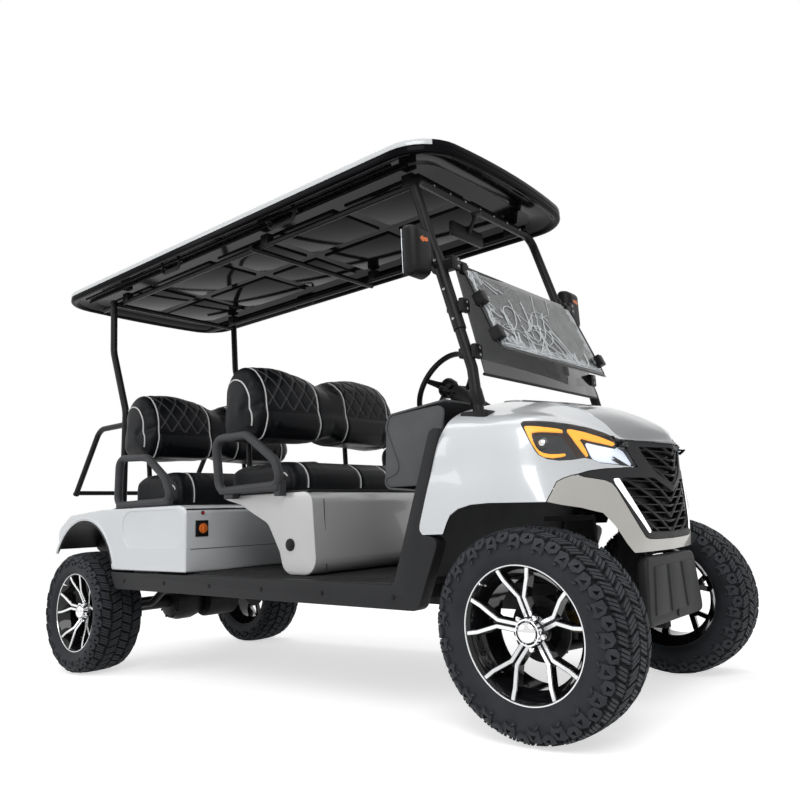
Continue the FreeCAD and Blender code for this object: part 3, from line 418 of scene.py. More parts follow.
leather = finish("leather", (0.004, 0.0045, 0.006), 0.40, specular=0.14, vary=0.3, vary_scale=20,
                 grain=0.35, grain_scale=1100, cells=True, rough_vary=0.05)
piping_white = finish("piping_white", (0.62, 0.62, 0.62), 0.5, vary=0.06, vary_scale=60, grain=0.2)
thread_white = finish("thread_white", (0.12, 0.12, 0.125), 0.7, vary=0.15, vary_scale=300)
mat_rubber = finish("mat_rubber", (0.022, 0.022, 0.023), 0.7, vary=0.2, vary_scale=20, grain=0.4)
orange_plastic = finish("orange_plastic", (0.72, 0.16, 0.02), 0.35, vary=0.05, coat=0.4)
red_plastic = finish("red_plastic", (0.45, 0.012, 0.010), 0.2, vary=0.05, coat=0.8)
roof_white = finish("roof_white", (0.60, 0.62, 0.63), 0.3, coat=0.8, vary=0.02, vary_scale=3, grain=0.03)


# %% Glowing and clear finishes


def glowing(name, colour, strength):
    """A lit lens, or a reflector that glows as a painted reflection: the light comes from the shader, with a
    slight drift over it.
    """
    material = finish(name, colour, 0.3, vary=0.03, vary_scale=40)
    dial(material.node_tree.nodes["Principled BSDF"], Emission_Color=(*colour, 1), Emission_Strength=strength)
    return material


def clear(name, colour, alpha, roughness=0.03):
    """Thin tinted plastic or glass, seen through by its alpha."""
    material = finish(name, colour, roughness, coat=0.5, vary=0.02, vary_scale=12)
    dial(material.node_tree.nodes["Principled BSDF"], Alpha=alpha)
    return material


running_light = glowing("running_light", (1.0, 1.0, 1.0), 0.9)
amber_light = glowing("amber_light", (1.0, 0.40, 0.03), 0.75)
# Painted reflection: the front reflector glows pale blue-white in place of the light it would reflect.
reflector_painted_shine = glowing("reflector_painted_shine", (0.80, 0.88, 1.0), 0.55)
lamp_cover = clear("lamp_cover", (0.55, 0.58, 0.62), 0.05)
screen_tint = clear("screen_tint", (0.020, 0.023, 0.022), 0.78)
film_milk = clear("film_milk", (0.62, 0.65, 0.67), 0.07, roughness=0.22)
film_fold = clear("film_fold", (0.66, 0.69, 0.72), 0.50, roughness=0.25)
film_crease = clear("film_crease", (0.80, 0.83, 0.85), 0.62, roughness=0.3)
mirror_glass = finish("mirror_glass", (0.55, 0.57, 0.60), 0.02, metallic=1.0, vary=0.01)
print("finishes:", len(bpy.data.materials))

# %% [markdown]
# ## Camera, floor and light
#
# The photograph was taken from low down, beside the right front wheel, looking up and back over the
# cart. Azimuth, climb and roll turn three axes into the camera's own. The floor and the world are pale,
# and the world lights the cart more softly than it shows itself to the camera.

# %% The camera
CAMERA_AT = Vector((2.493, -2.539, 0.591))
AZIMUTH = math.radians(41.79)
CLIMB = math.radians(13.42)
ROLL = math.radians(-3.52)
forward = Vector((-math.sin(AZIMUTH) * math.cos(CLIMB), math.cos(AZIMUTH) * math.cos(CLIMB), math.sin(CLIMB)))
level_right = Vector((math.cos(AZIMUTH), math.sin(AZIMUTH), 0))
level_up = level_right.cross(forward)
right = level_right * math.cos(ROLL) + level_up * math.sin(ROLL)
up = level_up * math.cos(ROLL) - level_right * math.sin(ROLL)
lens = bpy.data.cameras.new("camera")
lens.lens = 32.83
lens.sensor_width = 36.0
lens.shift_x = 0.0625
lens.shift_y = -0.05
camera = bpy.data.objects.new("camera", lens)
bpy.context.scene.collection.objects.link(camera)
camera.matrix_world = Matrix.Translation(CAMERA_AT) @ Matrix((right, up, -forward)).transposed().to_4x4()
bpy.context.scene.camera = camera
bpy.context.scene.view_settings.view_transform = "Standard"

# %% What the camera and the mirrors see
FLOOR_SHOWN = 0.62
WORLD_LIGHT = 0.42


def seen_share(tree):
    """1 on rays from the camera, off gloss and through glass, and 0 on the rays that light the cart."""
    path = tree.nodes.new("ShaderNodeLightPath")
    seen = path.outputs["Is Camera Ray"]
    for ray in ("Is Glossy Ray", "Is Transmission Ray"):
        either = tree.nodes.new("ShaderNodeMath")
        either.operation = "MAXIMUM"
        tree.links.new(seen, either.inputs[0])
        tree.links.new(path.outputs[ray], either.inputs[1])
        seen = either.outputs["Value"]
    return seen


# %% Floor, world and lamps
bpy.ops.object.select_all(action="DESELECT")
bpy.ops.mesh.primitive_plane_add(size=60)
floor = bpy.context.object
floor.name = "floor"
floor_finish = finish("floor_finish", (0.82, 0.82, 0.82), 0.9, vary=0.01, specular=0.1)
floor.data.materials.append(floor_finish)
floor_tree = floor_finish.node_tree
floor_shader = floor_tree.nodes["Principled BSDF"]
dial(floor_shader, Emission_Color=(1, 1, 1, 1))
floor_pale = floor_tree.nodes.new("ShaderNodeMath")
floor_pale.operation = "MULTIPLY"
floor_pale.inputs[1].default_value = FLOOR_SHOWN
floor_tree.links.new(seen_share(floor_tree), floor_pale.inputs[0])
floor_tree.links.new(floor_pale.outputs["Value"], floor_shader.inputs["Emission Strength"])

world = bpy.data.worlds.new("studio")
bpy.context.scene.world = world
world.use_nodes = True
sky = world.node_tree
soft = sky.nodes["Background"]
dial(soft, Color=(1, 1, 1, 1), Strength=WORLD_LIGHT)
shown = sky.nodes.new("ShaderNodeBackground")
dial(shown, Color=(1, 1, 1, 1), Strength=1.0)
mix = sky.nodes.new("ShaderNodeMixShader")
sky.links.new(seen_share(sky), mix.inputs["Fac"])
sky.links.new(soft.outputs["Background"], mix.inputs[1])
sky.links.new(shown.outputs["Background"], mix.inputs[2])
sky.links.new(mix.outputs["Shader"], sky.nodes["World Output"].inputs["Surface"])


def lamp(name, place, aim, size, watts):
    """A square soft lamp that looks at a point."""
    data = bpy.data.lights.new(name, "AREA")
    data.size = size
    data.energy = watts
    light = bpy.data.objects.new(name, data)
    bpy.context.scene.collection.objects.link(light)
    light.location = place
    light.rotation_euler = (Vector(aim) - Vector(place)).to_track_quat("-Z", "Y").to_euler()


lamp("key_lamp", (3.5, -4.0, 4.5), (0, 0, 0.8), 3.0, 150)
lamp("side_lamp", (-3.0, -4.5, 3.0), (-0.3, 0, 0.8), 3.0, 60)
lamp("top_lamp", (0.0, 0.0, 6.0), (0, 0, 0), 4.0, 110)

# %% [markdown]
# ## Wheels
#
# Each wheel is drawn once about its own centre with its face towards the camera's side, and then copied
# to its four places. The tyre is a spun carcass. Its tread is a single pitch of blocks, drawn flat on a
# strip, with one axis along the tread and one across it, and wrapped round the carcass by a formula, as
# a tread mould repeats one pattern. The rim is a spun barrel with five pairs of arms that run together
# from the hub, part half way out and reach the lip radially. Only their front faces are machined bright.

# %% The tyre's carcass
TYRE_RADIUS = AXLE_Z
TREAD_DEPTH = 11
PITCHES = 21
CARCASS = [
    (98, 186), (106, 196), (113, 206), (118, 220), (120, 236), (118, 252), (111, 266), (97, 273),
    (78, 277.5), (40, 280.5), (0, 281),
]


def carcass_point(across, lift):
    """A place on the section, from 0 at the bead to 1 at the crown and 2 at the other bead."""
    side = 1 if across <= 1 else -1
    t = (across if across <= 1 else 2 - across) * (len(CARCASS) - 1)
    i = min(int(t), len(CARCASS) - 2)
    before = Vector(CARCASS[i])
    after = Vector(CARCASS[i + 1])
    run = (after - before).normalized()
    here = before.lerp(after, t - i) + Vector((run.y, -run.x)) * lift
    return here.x * side, here.y


carcass_half = [carcass_point(i / 20, 0) for i in range(21)]
carcass_outside = carcass_half + [(-y, r) for y, r in reversed(carcass_half[:-1])]
carcass_inside = [(-90, 186), (-84, 200), (84, 200), (90, 186)]
carcass = turned("tyre_carcass", carcass_outside + carcass_inside, steps=126)


# %% One pitch of the tread
BAR_SHARE = 0.8
SUNK = 1.2


def strip_lug(outline, depth=TREAD_DEPTH, holes=(), draft=0.9):
    """A lug on the flat strip: along is in degrees, across is the section's own measure."""
    lug = plate("lug", outline, 0, depth, axis="Z", holes=holes)
    middle = sum((Vector((*p, 0)) for p in outline), Vector()) / len(outline)
    for vertex in lug.data.vertices:
        if vertex.co.z > depth / 2:
            vertex.co.x = middle.x + (vertex.co.x - middle.x) * draft
            vertex.co.y = middle.y + (vertex.co.y - middle.y) * draft
    return lug


def bars(along, across, length, width, lean, count=3):
    """A block cut into bars by narrow grooves, leaning along the tread."""
    lugs = []
    step = width / count
    low, high = across - length / 2, across + length / 2
    for i in range(count):
        a = along - width / 2 + i * step
        b = a + step * BAR_SHARE
        lugs.append(strip_lug([(a - lean, low), (b - lean, low), (b + lean, high), (a + lean, high)]))
    return lugs


def moved(outline, along, across, scale_along, scale_across):
    return [(along + a * scale_along, across + b * scale_across) for a, b in outline]


PITCH = 360 / PITCHES
HOUSE = [(-2.9, 0.012), (-1.4, 0.03), (1.1, 0.028), (2.9, -0.01), (3.9, 0.055), (3.0, 0.14), (0.4, 0.185),
         (-3.0, 0.15)]
HOUSE_HOLE = [(-1.2, 0.075), (1.9, 0.07), (1.2, 0.135)]
SHARD = [(-3.4, 0.02), (0.6, -0.005), (3.6, 0.05), (3.3, 0.15), (-0.6, 0.165), (-3.2, 0.12)]
SHARD_HOLE = [(-1.0, 0.05), (1.9, 0.075), (0.4, 0.125)]
TOE = [(-3.5, -0.02), (-2.2, -0.035), (-0.4, 0.01), (-1.9, 0.02)]


def half_pitch(shift):
    """The lugs from one shoulder to the crown."""
    second = shift + PITCH / 2
    house, house_hole = [moved(shape, shift, 0.395, 1.3, 1.4) for shape in (HOUSE, HOUSE_HOLE)]
    shard, shard_hole = [moved(shape, second, 0.49, 1.2, 1.2) for shape in (SHARD, SHARD_HOLE)]
    lugs = [
        strip_lug(house, depth=7, holes=[house_hole], draft=0.96),
        strip_lug(moved(TOE, shift, 0.395, 1.3, 1.2), depth=6),
        strip_lug(shard, depth=9, holes=[shard_hole], draft=0.96),
    ]
    for along, across, length, width, lean in (
        (shift + 0.5, 0.755, 0.16, 7.0, 1.7), (second + 0.5, 0.775, 0.16, 7.0, 1.7),
        (shift + 3.2, 0.935, 0.115, 6.8, -1.9), (second + 3.2, 0.935, 0.115, 6.8, -1.9),
    ):
        lugs += bars(along, across, length, width, lean)
    return lugs


def wrapped(lug, turn, mirror):
    """Carries a flat lug onto the carcass."""
    for vertex in lug.data.vertices:
        across = vertex.co.y if not mirror else 2 - vertex.co.y
        lift = vertex.co.z - (SUNK if vertex.co.z < 1 else 0)
        y, radius = carcass_point(across, lift)
        radius = min(radius, TYRE_RADIUS)
        angle = math.radians(vertex.co.x + turn)
        vertex.co = (radius * math.sin(angle), y, radius * math.cos(angle))
    if mirror:
        lug.data.flip_normals()


right_lugs = joined("right_lugs", half_pitch(0))
left_lugs = copied(right_lugs, "left_lugs")
wrapped(right_lugs, 0, False)
wrapped(left_lugs, PITCH / 4, True)
pitch = facing_out(joined("tread_pitch", [right_lugs, left_lugs]))
tread = joined("tyre_tread", [
    copied(pitch, "pitch_copy", Matrix.Rotation(math.radians(i * PITCH), 4, "Y")) for i in range(PITCHES)
])
bpy.data.objects.remove(pitch)
print("tread faces:", len(tread.data.polygons))

# %% The rim's barrel and lip
LIP_Y = -100
FACE_DROP = 52
HUB_RADIUS = 40
FACE_RADIUS = 183
barrel = turned("rim_barrel", [
    (-98, 183), (-100, 187), (-99, 191), (-94, 192), (-86, 191), (-84, 179), (-64, 177), (-44, 160),
    (44, 160), (64, 177), (84, 179), (86, 192), (98, 192), (100, 187), (92, 182), (66, 171), (46, 154),
    (-44, 154), (-64, 168), (-86, 174), (-93, 180),
], steps=96)


def face_y(radius):
    """The dished front of the arms: flush at the lip, deeper towards the hub."""
    t = max(0.0, min(1.0, (radius - HUB_RADIUS) / (FACE_RADIUS - HUB_RADIUS)))
    return LIP_Y + 3 + FACE_DROP * (1 - t) ** 1.25


# %% Ten arms, five pairs
PAIR_GAP = 9
ARM_LINE = [Vector((PAIR_GAP, 40)), Vector((PAIR_GAP, 97))]
for radius, degrees in ((152, 14.5), (184, 15.5)):
    turn = math.radians(degrees)
    ARM_LINE.append(Vector((radius * math.sin(turn), radius * math.cos(turn))))


def arm_strip(name, half_width, top, depth):
    """One arm of the right of a pair, as a bar that follows the dish."""
    path = []
    for before, after in zip(ARM_LINE, ARM_LINE[1:]):
        path += [before.lerp(after, i / 5) for i in range(5)]
    path.append(ARM_LINE[-1])
    rows = [[], [], [], []]
    for i, here in enumerate(path):
        before = path[max(i - 1, 0)]
        after = path[min(i + 1, len(path) - 1)]
        run = (after - before).normalized()
        aside = Vector((run.y, -run.x))
        for k, (side, drop) in enumerate(((-1, depth), (-1, 0), (1, 0), (1, depth))):
            reach = half_width * (1.0 if drop == 0 else 1.5)
            place = here + aside * side * reach
            rows[k].append(Vector((place.x, face_y(place.length) + top + drop, place.y)))
    sheet = grid(name, rows)
    edit_all(sheet)
    bpy.ops.mesh.select_all(action="DESELECT")
    bpy.ops.mesh.select_non_manifold()
    bpy.ops.mesh.edge_face_add()
    bpy.ops.mesh.select_all(action="SELECT")
    bpy.ops.mesh.normals_make_consistent(inside=False)
    leave_edit()
    return sheet


def five(piece, name):
    """Five copies about the axle."""
    whole = joined(name, [
        copied(piece, "copy", Matrix.Rotation(math.radians(i * 72 - 4), 4, "Y")) for i in range(5)
    ])
    bpy.data.objects.remove(piece)
    return whole


def pair(piece):
    """An arm and its twin across the pair's own middle."""
    twin = copied(piece, "twin", Matrix.Scale(-1, 4, (1, 0, 0)))
    return joined(piece.name, [piece, twin])


arm_bodies = five(pair(arm_strip("arm_body", 6.5, 1.2, 26)), "rim_arms")
arm_faces = five(pair(arm_strip("arm_face", 4.6, 0, 3)), "rim_arm_faces")
web = five(plate("arm_web", [(-14, 38), (14, 38), (16, 100), (0, 112), (-16, 100)], 0, 1), "rim_webs")
for vertex in web.data.vertices:
    radius = math.hypot(vertex.co.x, vertex.co.z)
    vertex.co.y = face_y(radius) + (9 if vertex.co.y < 0.5 else 24)

# %% Lip ring, hub, cap and nuts
lip_ring = turned("rim_lip_ring", [(-99, 184), (-101, 185), (-101, 188), (-98, 189.5), (-96, 185.5)], 120)
hub_y = face_y(HUB_RADIUS)
hub = turned("rim_hub", [
    (hub_y - 2, 0), (hub_y - 2, 40), (hub_y + 6, 50), (hub_y + 30, 54), (hub_y + 40, 0),
], closed=False)
cap = turned("rim_cap", [
    (-88, 0), (-87, 12), (-84, 22), (-78, 30), (-72, 33.5), (-70, 34), (-70, 37), (-66, 38), (-44, 38),
    (-40, 30), (-40, 0),
], closed=False)
nut = disc("nut", (0, face_y(46) - 6, 46), (0, -1, 0), 8, 20, round_edge=2.5, sides=6)
nuts = five(nut, "rim_nuts")
nuts.data.transform(Matrix.Rotation(math.radians(36), 4, "Y"))
brake_disc = turned("brake_disc", [(20, 40), (12, 60), (12, 92), (20, 92), (20, 60), (26, 60), (26, 40)])
disc_bell = turned("disc_bell", [(-22, 42), (22, 42), (22, 62), (10, 62), (-10, 52), (-22, 50)])
valve = disc("valve_stem", (-118, LIP_Y + 10, 132), (-0.3, -1, 0.3), 4, 26, sides=12)

# %% Placing the four wheels
# Painted shade: carcass faces beyond this radius and within this half width lie between the lugs and take the
# near-black rubber.
GROOVE_SHADE_RADIUS = 262
GROOVE_SHADE_HALF = 114
wheel_pieces = [
    ("tyre_carcass", carcass, tyre_rubber, "tyre"),
    ("tyre_tread", tread, tread_rubber, "tyre"),
    ("rim_barrel", barrel, gloss_black, "rim"),
    ("rim_arms", joined("rim_arms", [arm_bodies, web, hub]), gloss_black, "rim"),
    ("rim_faces", joined("rim_faces", [arm_faces, lip_ring]), machined_alloy, "rim"),
    ("rim_chrome", joined("rim_chrome", [cap, nuts, valve]), chrome, "rim"),
    ("brake_disc", joined("brake_disc", [brake_disc, disc_bell]), dark_steel, "rim"),
]
for place, x in (("front", AXLE_X), ("rear", -AXLE_X)):
    for side, sign in (("right", -1), ("left", 1)):
        spin = Matrix.Rotation(0 if sign < 0 else math.pi, 4, "Z")
        at_wheel = LEVEL @ Matrix.Translation((x, sign * WHEEL_Y, AXLE_Z)) @ spin
        corner = "_%s_%s" % (place, side)
        for name, piece, material, slot in wheel_pieces:
            twin = settle(copied(piece, name + corner), material, "wheel" + corner, at_wheel, 30)
            if name == "tyre_carcass":
                # Painted shade in the grooves between the lugs.
                twin.data.materials.append(groove_painted_shade)
                for face in twin.data.polygons:
                    spot_in = at_wheel.inverted() @ face.center
                    if math.hypot(spot_in.x, spot_in.z) > GROOVE_SHADE_RADIUS and abs(spot_in.y) < GROOVE_SHADE_HALF:
                        face.material_index = 1
                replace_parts(twin, "tyre" + corner)
            if name == "rim_barrel":
                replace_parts(twin, "rim" + corner)
for row in wheel_pieces:
    bpy.data.objects.remove(row[1])
print("wheels placed")

# %% [markdown]
# ## The nose
#
# The nose is one smooth skin. Ten lines run along it, from the skirt up to the middle of the hood, and
# each is drawn from the side of the body round to the centre of the nose. A spline carries the skin
# through them, and it is mirrored to the other side. Panels are then parted with thin seams: each seam
# is a line on the skin, swept outwards from a point inside the nose, so that it meets the skin nearly
# square. Lamps, bars and lattice are laid on the same skin, higher or deeper.

# %% The lines of the nose: (forward, aside, height)
NOSE_LINES = {
    "skirt": [(880, 612, 485), (1014, 612, 485), (1110, 612, 485), (1230, 606, 485), (1335, 565, 485),
              (1395, 440, 485), (1428, 330, 485), (1464, 228, 485), (1482, 0, 485)],
    "lip": [(880, 612, 545), (1014, 612, 545), (1110, 612, 545), (1230, 606, 545), (1342, 575, 545),
            (1397, 455, 545), (1434, 330, 545), (1482, 186, 545), (1492, 0, 545)],
    "arch": [(880, 612, 640), (1014, 612, 640), (1110, 612, 640), (1230, 604, 640), (1348, 580, 640),
             (1400, 460, 640), (1436, 330, 640), (1478, 186, 640), (1500, 0, 640)],
    "waist": [(880, 609, 745), (1014, 609, 745), (1110, 607, 745), (1230, 594, 745), (1322, 552, 745),
              (1386, 448, 745), (1434, 320, 745), (1476, 185, 745), (1522, 0, 745)],
    "shoulder": [(880, 590, 860), (1014, 596, 880), (1110, 582, 887), (1220, 556, 894), (1305, 520, 890),
                 (1368, 448, 873), (1420, 350, 850), (1460, 240, 829), (1524, 0, 826)],
    "brow": [(880, 520, 945), (1014, 500, 955), (1110, 480, 950), (1225, 440, 944), (1303, 404, 928),
             (1366, 368, 903), (1416, 316, 873), (1461, 236, 834), (1526, 0, 832)],
    "ridge": [(880, 240, 1012), (1014, 245, 1012), (1110, 262, 1004), (1230, 297, 981), (1300, 300, 961),
              (1364, 300, 936), (1412, 285, 898), (1462, 232, 838), (1527, 0, 838)],
    "groove": [(880, 226, 1009), (1014, 231, 1010), (1110, 248, 1001), (1230, 284, 977), (1300, 287, 957),
               (1362, 286, 932), (1406, 270, 896), (1452, 222, 846), (1522, 0, 846)],
    "crown": [(880, 120, 1024), (1014, 120, 1030), (1110, 130, 1019), (1220, 140, 998), (1318, 140, 971),
              (1392, 138, 940), (1442, 130, 911), (1480, 110, 880), (1514, 0, 862)],
    "centre": [(880, 0, 1030), (1000, 0, 1038), (1110, 0, 1026), (1220, 0, 1005), (1320, 0, 979),
               (1400, 0, 946), (1455, 0, 914), (1490, 0, 890), (1508, 0, 870)],
}
HEART = Vector((1150, 0, 720))
SKIN = 6


def spline(points, steps=8):
    """A smooth line through its points."""
    knots = [Vector(p) for p in points]
    knots = [knots[0] * 2 - knots[1]] + knots + [knots[-1] * 2 - knots[-2]]
    line = []
    for a, b, c, d in zip(knots, knots[1:], knots[2:], knots[3:]):
        for k in range(steps):
            t = k / steps
            curved = (a * 2 - b * 5 + c * 4 - d) + (b * 3 - a - c * 3 + d) * t
            line.append(b + ((c - a) + curved * t) * t * 0.5)
    line.append(knots[-2])
    return line


def surface_of(piece):
    """The skin of a piece, to find places on it."""
    corners = [v.co for v in piece.data.vertices]
    return BVHTree.FromPolygons(corners, [p.vertices for p in piece.data.polygons])


nose_rows = [spline(line) for line in NOSE_LINES.values()]
nose = grid("nose", [spline([row[j] for row in nose_rows]) for j in range(len(nose_rows[0]))])
modify(nose, "MIRROR", use_axis=(False, True, False), merge_threshold=0.5)
front_face = max(nose.data.polygons, key=lambda p: p.center.x)
if front_face.normal.x < 0:
    nose.data.flip_normals()
nose_tree = surface_of(nose)
print("nose faces:", len(nose.data.polygons))

# %% Places on the skin
PATCH_ROOM = 60
AHEAD = 2000


def on_nose(place, lift=0.0):
    """The nearest place on the skin, lifted off it."""
    near, normal, _, _ = nose_tree.find_nearest(Vector(place))
    return near + normal * lift


def front_of_nose(y, z):
    """Where a line from straight ahead meets the skin."""
    return nose_tree.ray_cast(Vector((AHEAD, y, z)), Vector((-1, 0, 0)))[0]


def loop(points, bend=8, steps=4):
    """A closed outline with rounded corners."""
    start = (Vector(points[-1]) + Vector(points[0])) / 2
    return rounded([start, *points, start], bend, steps)[:-1]


def other_side(points):
    """The same outline across the centre line."""
    return [Vector((p[0], -p[1], p[2])) for p in points]


def whole_width(points):
    """An outline drawn for the right half, from the centre and back to it, made whole."""
    return list(points) + [Vector((p[0], -p[1], p[2])) for p in reversed(points) if abs(p[1]) > 1]


# %% Cutting the skin


def swept(name, line, near, far):
    """A line swept out from the heart of the nose."""
    return grid(name, [[HEART.lerp(Vector(p), t) for p in line] for t in (near, far)])


def cone(name, outline):
    """A closed outline swept out into a cutting tool."""
    return facing_out(swept(name, [*outline, outline[0]], 0.7, 1.25), WELD, capped=True)


def seam(line, gap=2.6):
    """A thin wall along a line, which parts the skin there."""
    piece = swept("seam", line, 0.82, 1.2)
    edit_all(piece)
    bpy.ops.mesh.remove_doubles(threshold=WELD)
    leave_edit()
    return modify(piece, "SOLIDIFY", thickness=gap, offset=0)


def boolean(piece, tool, operation):
    """Cuts, joins or intersects with a tool that is then thrown away."""
    modify(piece, "BOOLEAN", object=tool, operation=operation, solver="MANIFOLD")
    bpy.data.objects.remove(tool)
    return piece


# %% Patches of the skin, and bars that follow it


def patch(name, outline, lift, thick):
    """Part of the skin inside an outline, lifted off it and given a thickness inwards."""
    piece = copied(nose, name)
    if lift:
        modify(piece, "DISPLACE", strength=lift, mid_level=0)
    low = [min(p[i] for p in outline) - PATCH_ROOM for i in range(3)]
    high = [max(p[i] for p in outline) + PATCH_ROOM for i in range(3)]
    edit_all(piece)
    bpy.ops.mesh.select_all(action="DESELECT")
    leave_edit()
    for vertex in piece.data.vertices:
        vertex.select = any(c < a or c > b for a, c, b in zip(low, vertex.co, high))
    bpy.ops.object.mode_set(mode="EDIT")
    bpy.ops.mesh.delete(type="VERT")
    leave_edit()
    modify(piece, "SOLIDIFY", thickness=thick, offset=-1)
    return boolean(piece, cone(name + "_tool", outline), "INTERSECT")


def slat(name, line, width, front, back):
    """A bar with a chamfered front that follows the skin: the line is (aside, height)."""
    path = []
    for (y0, z0), (y1, z1) in zip(line, line[1:]):
        steps = max(1, round(math.hypot(y1 - y0, z1 - z0) / 14))
        path += [(y0 + (y1 - y0) * k / steps, z0 + (z1 - z0) * k / steps) for k in range(steps)]
    path.append(line[-1])
    rows = [[] for _ in range(6)]
    shape = ((-1, back), (-1, front - 3), (-0.5, front), (0.5, front), (1, front - 3), (1, back))
    for i, (y, z) in enumerate(path):
        y0, z0 = path[max(i - 1, 0)]
        y1, z1 = path[min(i + 1, len(path) - 1)]
        run = Vector((0, y1 - y0, z1 - z0)).normalized()
        aside = Vector((0, -run.z, run.y)) * width / 2
        here = front_of_nose(y, z)
        for row, (side, depth) in zip(rows, shape):
            row.append(here + aside * side + Vector((depth, 0, 0)))
    return facing_out(grid(name, rows), capped=True)


# %% Outlines on the skin, right-hand side
LAMP = loop([
    (1267, -543, 889), (1272, -536, 896), (1305, -516, 895), (1339, -479, 891), (1371, -431, 884),
    (1404, -369, 873), (1430, -315, 857), (1453, -261, 838), (1458, -246, 819), (1466, -220, 785),
    (1473, -194, 752), (1454, -258, 757), (1422, -353, 765), (1409, -384, 776), (1399, -411, 780),
    (1379, -455, 774), (1357, -495, 772), (1336, -525, 777), (1318, -543, 790), (1308, -548, 807),
    (1292, -551, 842),
], bend=6, steps=3)
HOOD = whole_width([
    (1085, 0, 1030), (1085, -130, 1022), (1095, -236, 1006), (1150, -272, 996), (1235, -297, 981),
    (1301, -300, 961), (1364, -300, 936), (1392, -295, 917), (1413, -284, 897), (1430, -266, 870),
    (1446, -246, 849), (1463, -232, 836), (1497, -110, 832), (1526, 0, 830),
])
ARM_TOP = [(1469, -200, 761), (1474, -192, 752), (1454, -260, 750), (1430, -333, 747), (1406, -403, 740),
           (1387, -452, 729), (1384, -460, 726)]
STRIPE_END = [(1449, -268, 832), (1454, -258, 839), (1462, -236, 837), (1466, -226, 838)]
BUMPER_TOP = [
    (1389, -448, 731), (1392, -441, 727), (1400, -426, 722), (1412, -392, 718), (1428, -346, 712),
    (1437, -319, 703), (1443, -302, 686), (1457, -266, 629), (1474, -221, 558), (1478, -203, 537),
    (1481, -186, 530), (1487, -90, 526), (1490, 0, 525),
]
WHITE_EDGE = [(1347, -590, 636), (1347, -577, 652), (1355, -551, 683), (1358, -524, 709),
              (1368, -498, 719), (1380, -468, 727), (1391, -443, 731)]
UPPER_OPENING = whole_width([(1528, 0, 817), (1478, -176, 816), (1481, -168, 800), (1492, -122, 750),
                             (1498, -93, 731), (1516, 0, 694)])
LOWER_OPENING = whole_width([
    (1508, 0, 672), (1499, -62, 695), (1492, -117, 717), (1453, -267, 718), (1449, -272, 708),
    (1468, -222, 630), (1486, -160, 551), (1497, 0, 543),
])
LED_BAR = loop([(1439, -310, 716), (1447, -286, 717), (1467, -233, 639), (1485, -170, 550), (1483, -184, 547),
                (1463, -247, 625), (1441, -303, 700)], bend=4, steps=2)

# %% [markdown]
# ### Panels and lattice
#
# On the real cart the hood, the bumper, the black surround and the cowl are mouldings that meet at thin
# gaps. So one shell is trimmed from the side and cut by the seams, and its loose pieces are then sorted
# by where they lie. Their inner faces are black. The lattice behind the openings is a set of chamfered
# bars: level rows, and chevrons that break at a knee.

# %% The panels
shell = copied(nose, "shell")
modify(shell, "SOLIDIFY", thickness=SKIN, offset=-1)
side_view = plate("side_view", [
    (902, 563), (1001, 565), (1018, 600), (1033, 623), (1060, 640), (1110, 652), (1172, 655), (1350, 651),
    (1371, 643), (1400, 631), (1424, 614), (1437, 573), (1450, 520), (1459, 491), (1600, 480), (1600, 1100),
    (1060, 1100), (1014, 900),
], -700, 700)
boolean(shell, side_view, "INTERSECT")
for line in ([*LAMP, LAMP[0]], ARM_TOP, STRIPE_END, WHITE_EDGE):
    boolean(shell, seam(line), "DIFFERENCE")
    boolean(shell, seam(other_side(line)), "DIFFERENCE")
for line in ([*HOOD, HOOD[0]], whole_width(BUMPER_TOP), [*UPPER_OPENING, UPPER_OPENING[0]],
             [*LOWER_OPENING, LOWER_OPENING[0]]):
    boolean(shell, seam(line), "DIFFERENCE")
alone(shell)
bpy.ops.mesh.separate(type="LOOSE")
loose = list(bpy.context.selected_objects)
print("loose panels:", len(loose), [len(p.data.polygons) for p in loose])


def taken(place):
    """Takes out the loose panel that is nearest to a place."""
    best = min(loose, key=lambda p: min((v.co - Vector(place)).length for v in p.data.vertices))
    loose.remove(best)
    return best


hood = taken((1300, 0, 985))
surround = taken((1480, -150, 740))
bumper = taken((1400, -460, 660))
cowl = taken((1100, -600, 750))
for piece in loose:
    bpy.data.objects.remove(piece)
settle(hood, hood_paint)
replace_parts(hood, "hood_panel")
settle(surround, charcoal_plastic)
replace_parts(surround, "grille")
settle(bumper, sand_paint)
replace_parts(bumper, "front_bumper")
settle(cowl, pearl_paint)
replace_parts(cowl, "front_cowl")
INWARD = -0.02
for panel in (hood, bumper, cowl):
    panel.data.materials.append(black_plastic)
    for face in panel.data.polygons:
        if face.normal.dot(face.center - RIDE @ HEART) < INWARD:
            face.material_index = 1

# %% The lattice behind the surround
ROW_PITCH = 24.4
DIAGONAL_PITCH = 50
MESH_TOP = 818
MESH_FOOT = 538
MESH_HALF = 285
KNEE_Y = 80
lattice_bars = []
for i in range(12):
    z = 809 - i * ROW_PITCH
    outer = -190 if z > 740 else -MESH_HALF
    for sign in (-1, 1):
        row = [(sign * outer, z), (sign * 40, z - 9), (0, z - 12)]
        lattice_bars.append(slat("row", row, 6, -7, -24))
for i in range(9):
    apex = 743 - (i - 1) * DIAGONAL_PITCH
    outside, knee = apex + 137, apex + 44
    for sign in (-1, 1):
        line = [(sign * MESH_HALF, outside), (sign * KNEE_Y, knee), (0, apex)]
        if outside > MESH_TOP:
            reach = (MESH_TOP - apex - 44) * (MESH_HALF - KNEE_Y) / 93
            line[0] = (sign * (KNEE_Y + reach), MESH_TOP)
        if apex < MESH_FOOT:
            share = (MESH_FOOT - knee) / (line[0][1] - knee)
            if share > 0.9:
                continue
            line = [line[0], (sign * (KNEE_Y + 205 * max(share, 0)), max(knee, MESH_FOOT))]
        lattice_bars.append(slat("diagonal", line, 9, -4, -24))
settle(joined("grille_lattice", lattice_bars), black_plastic)
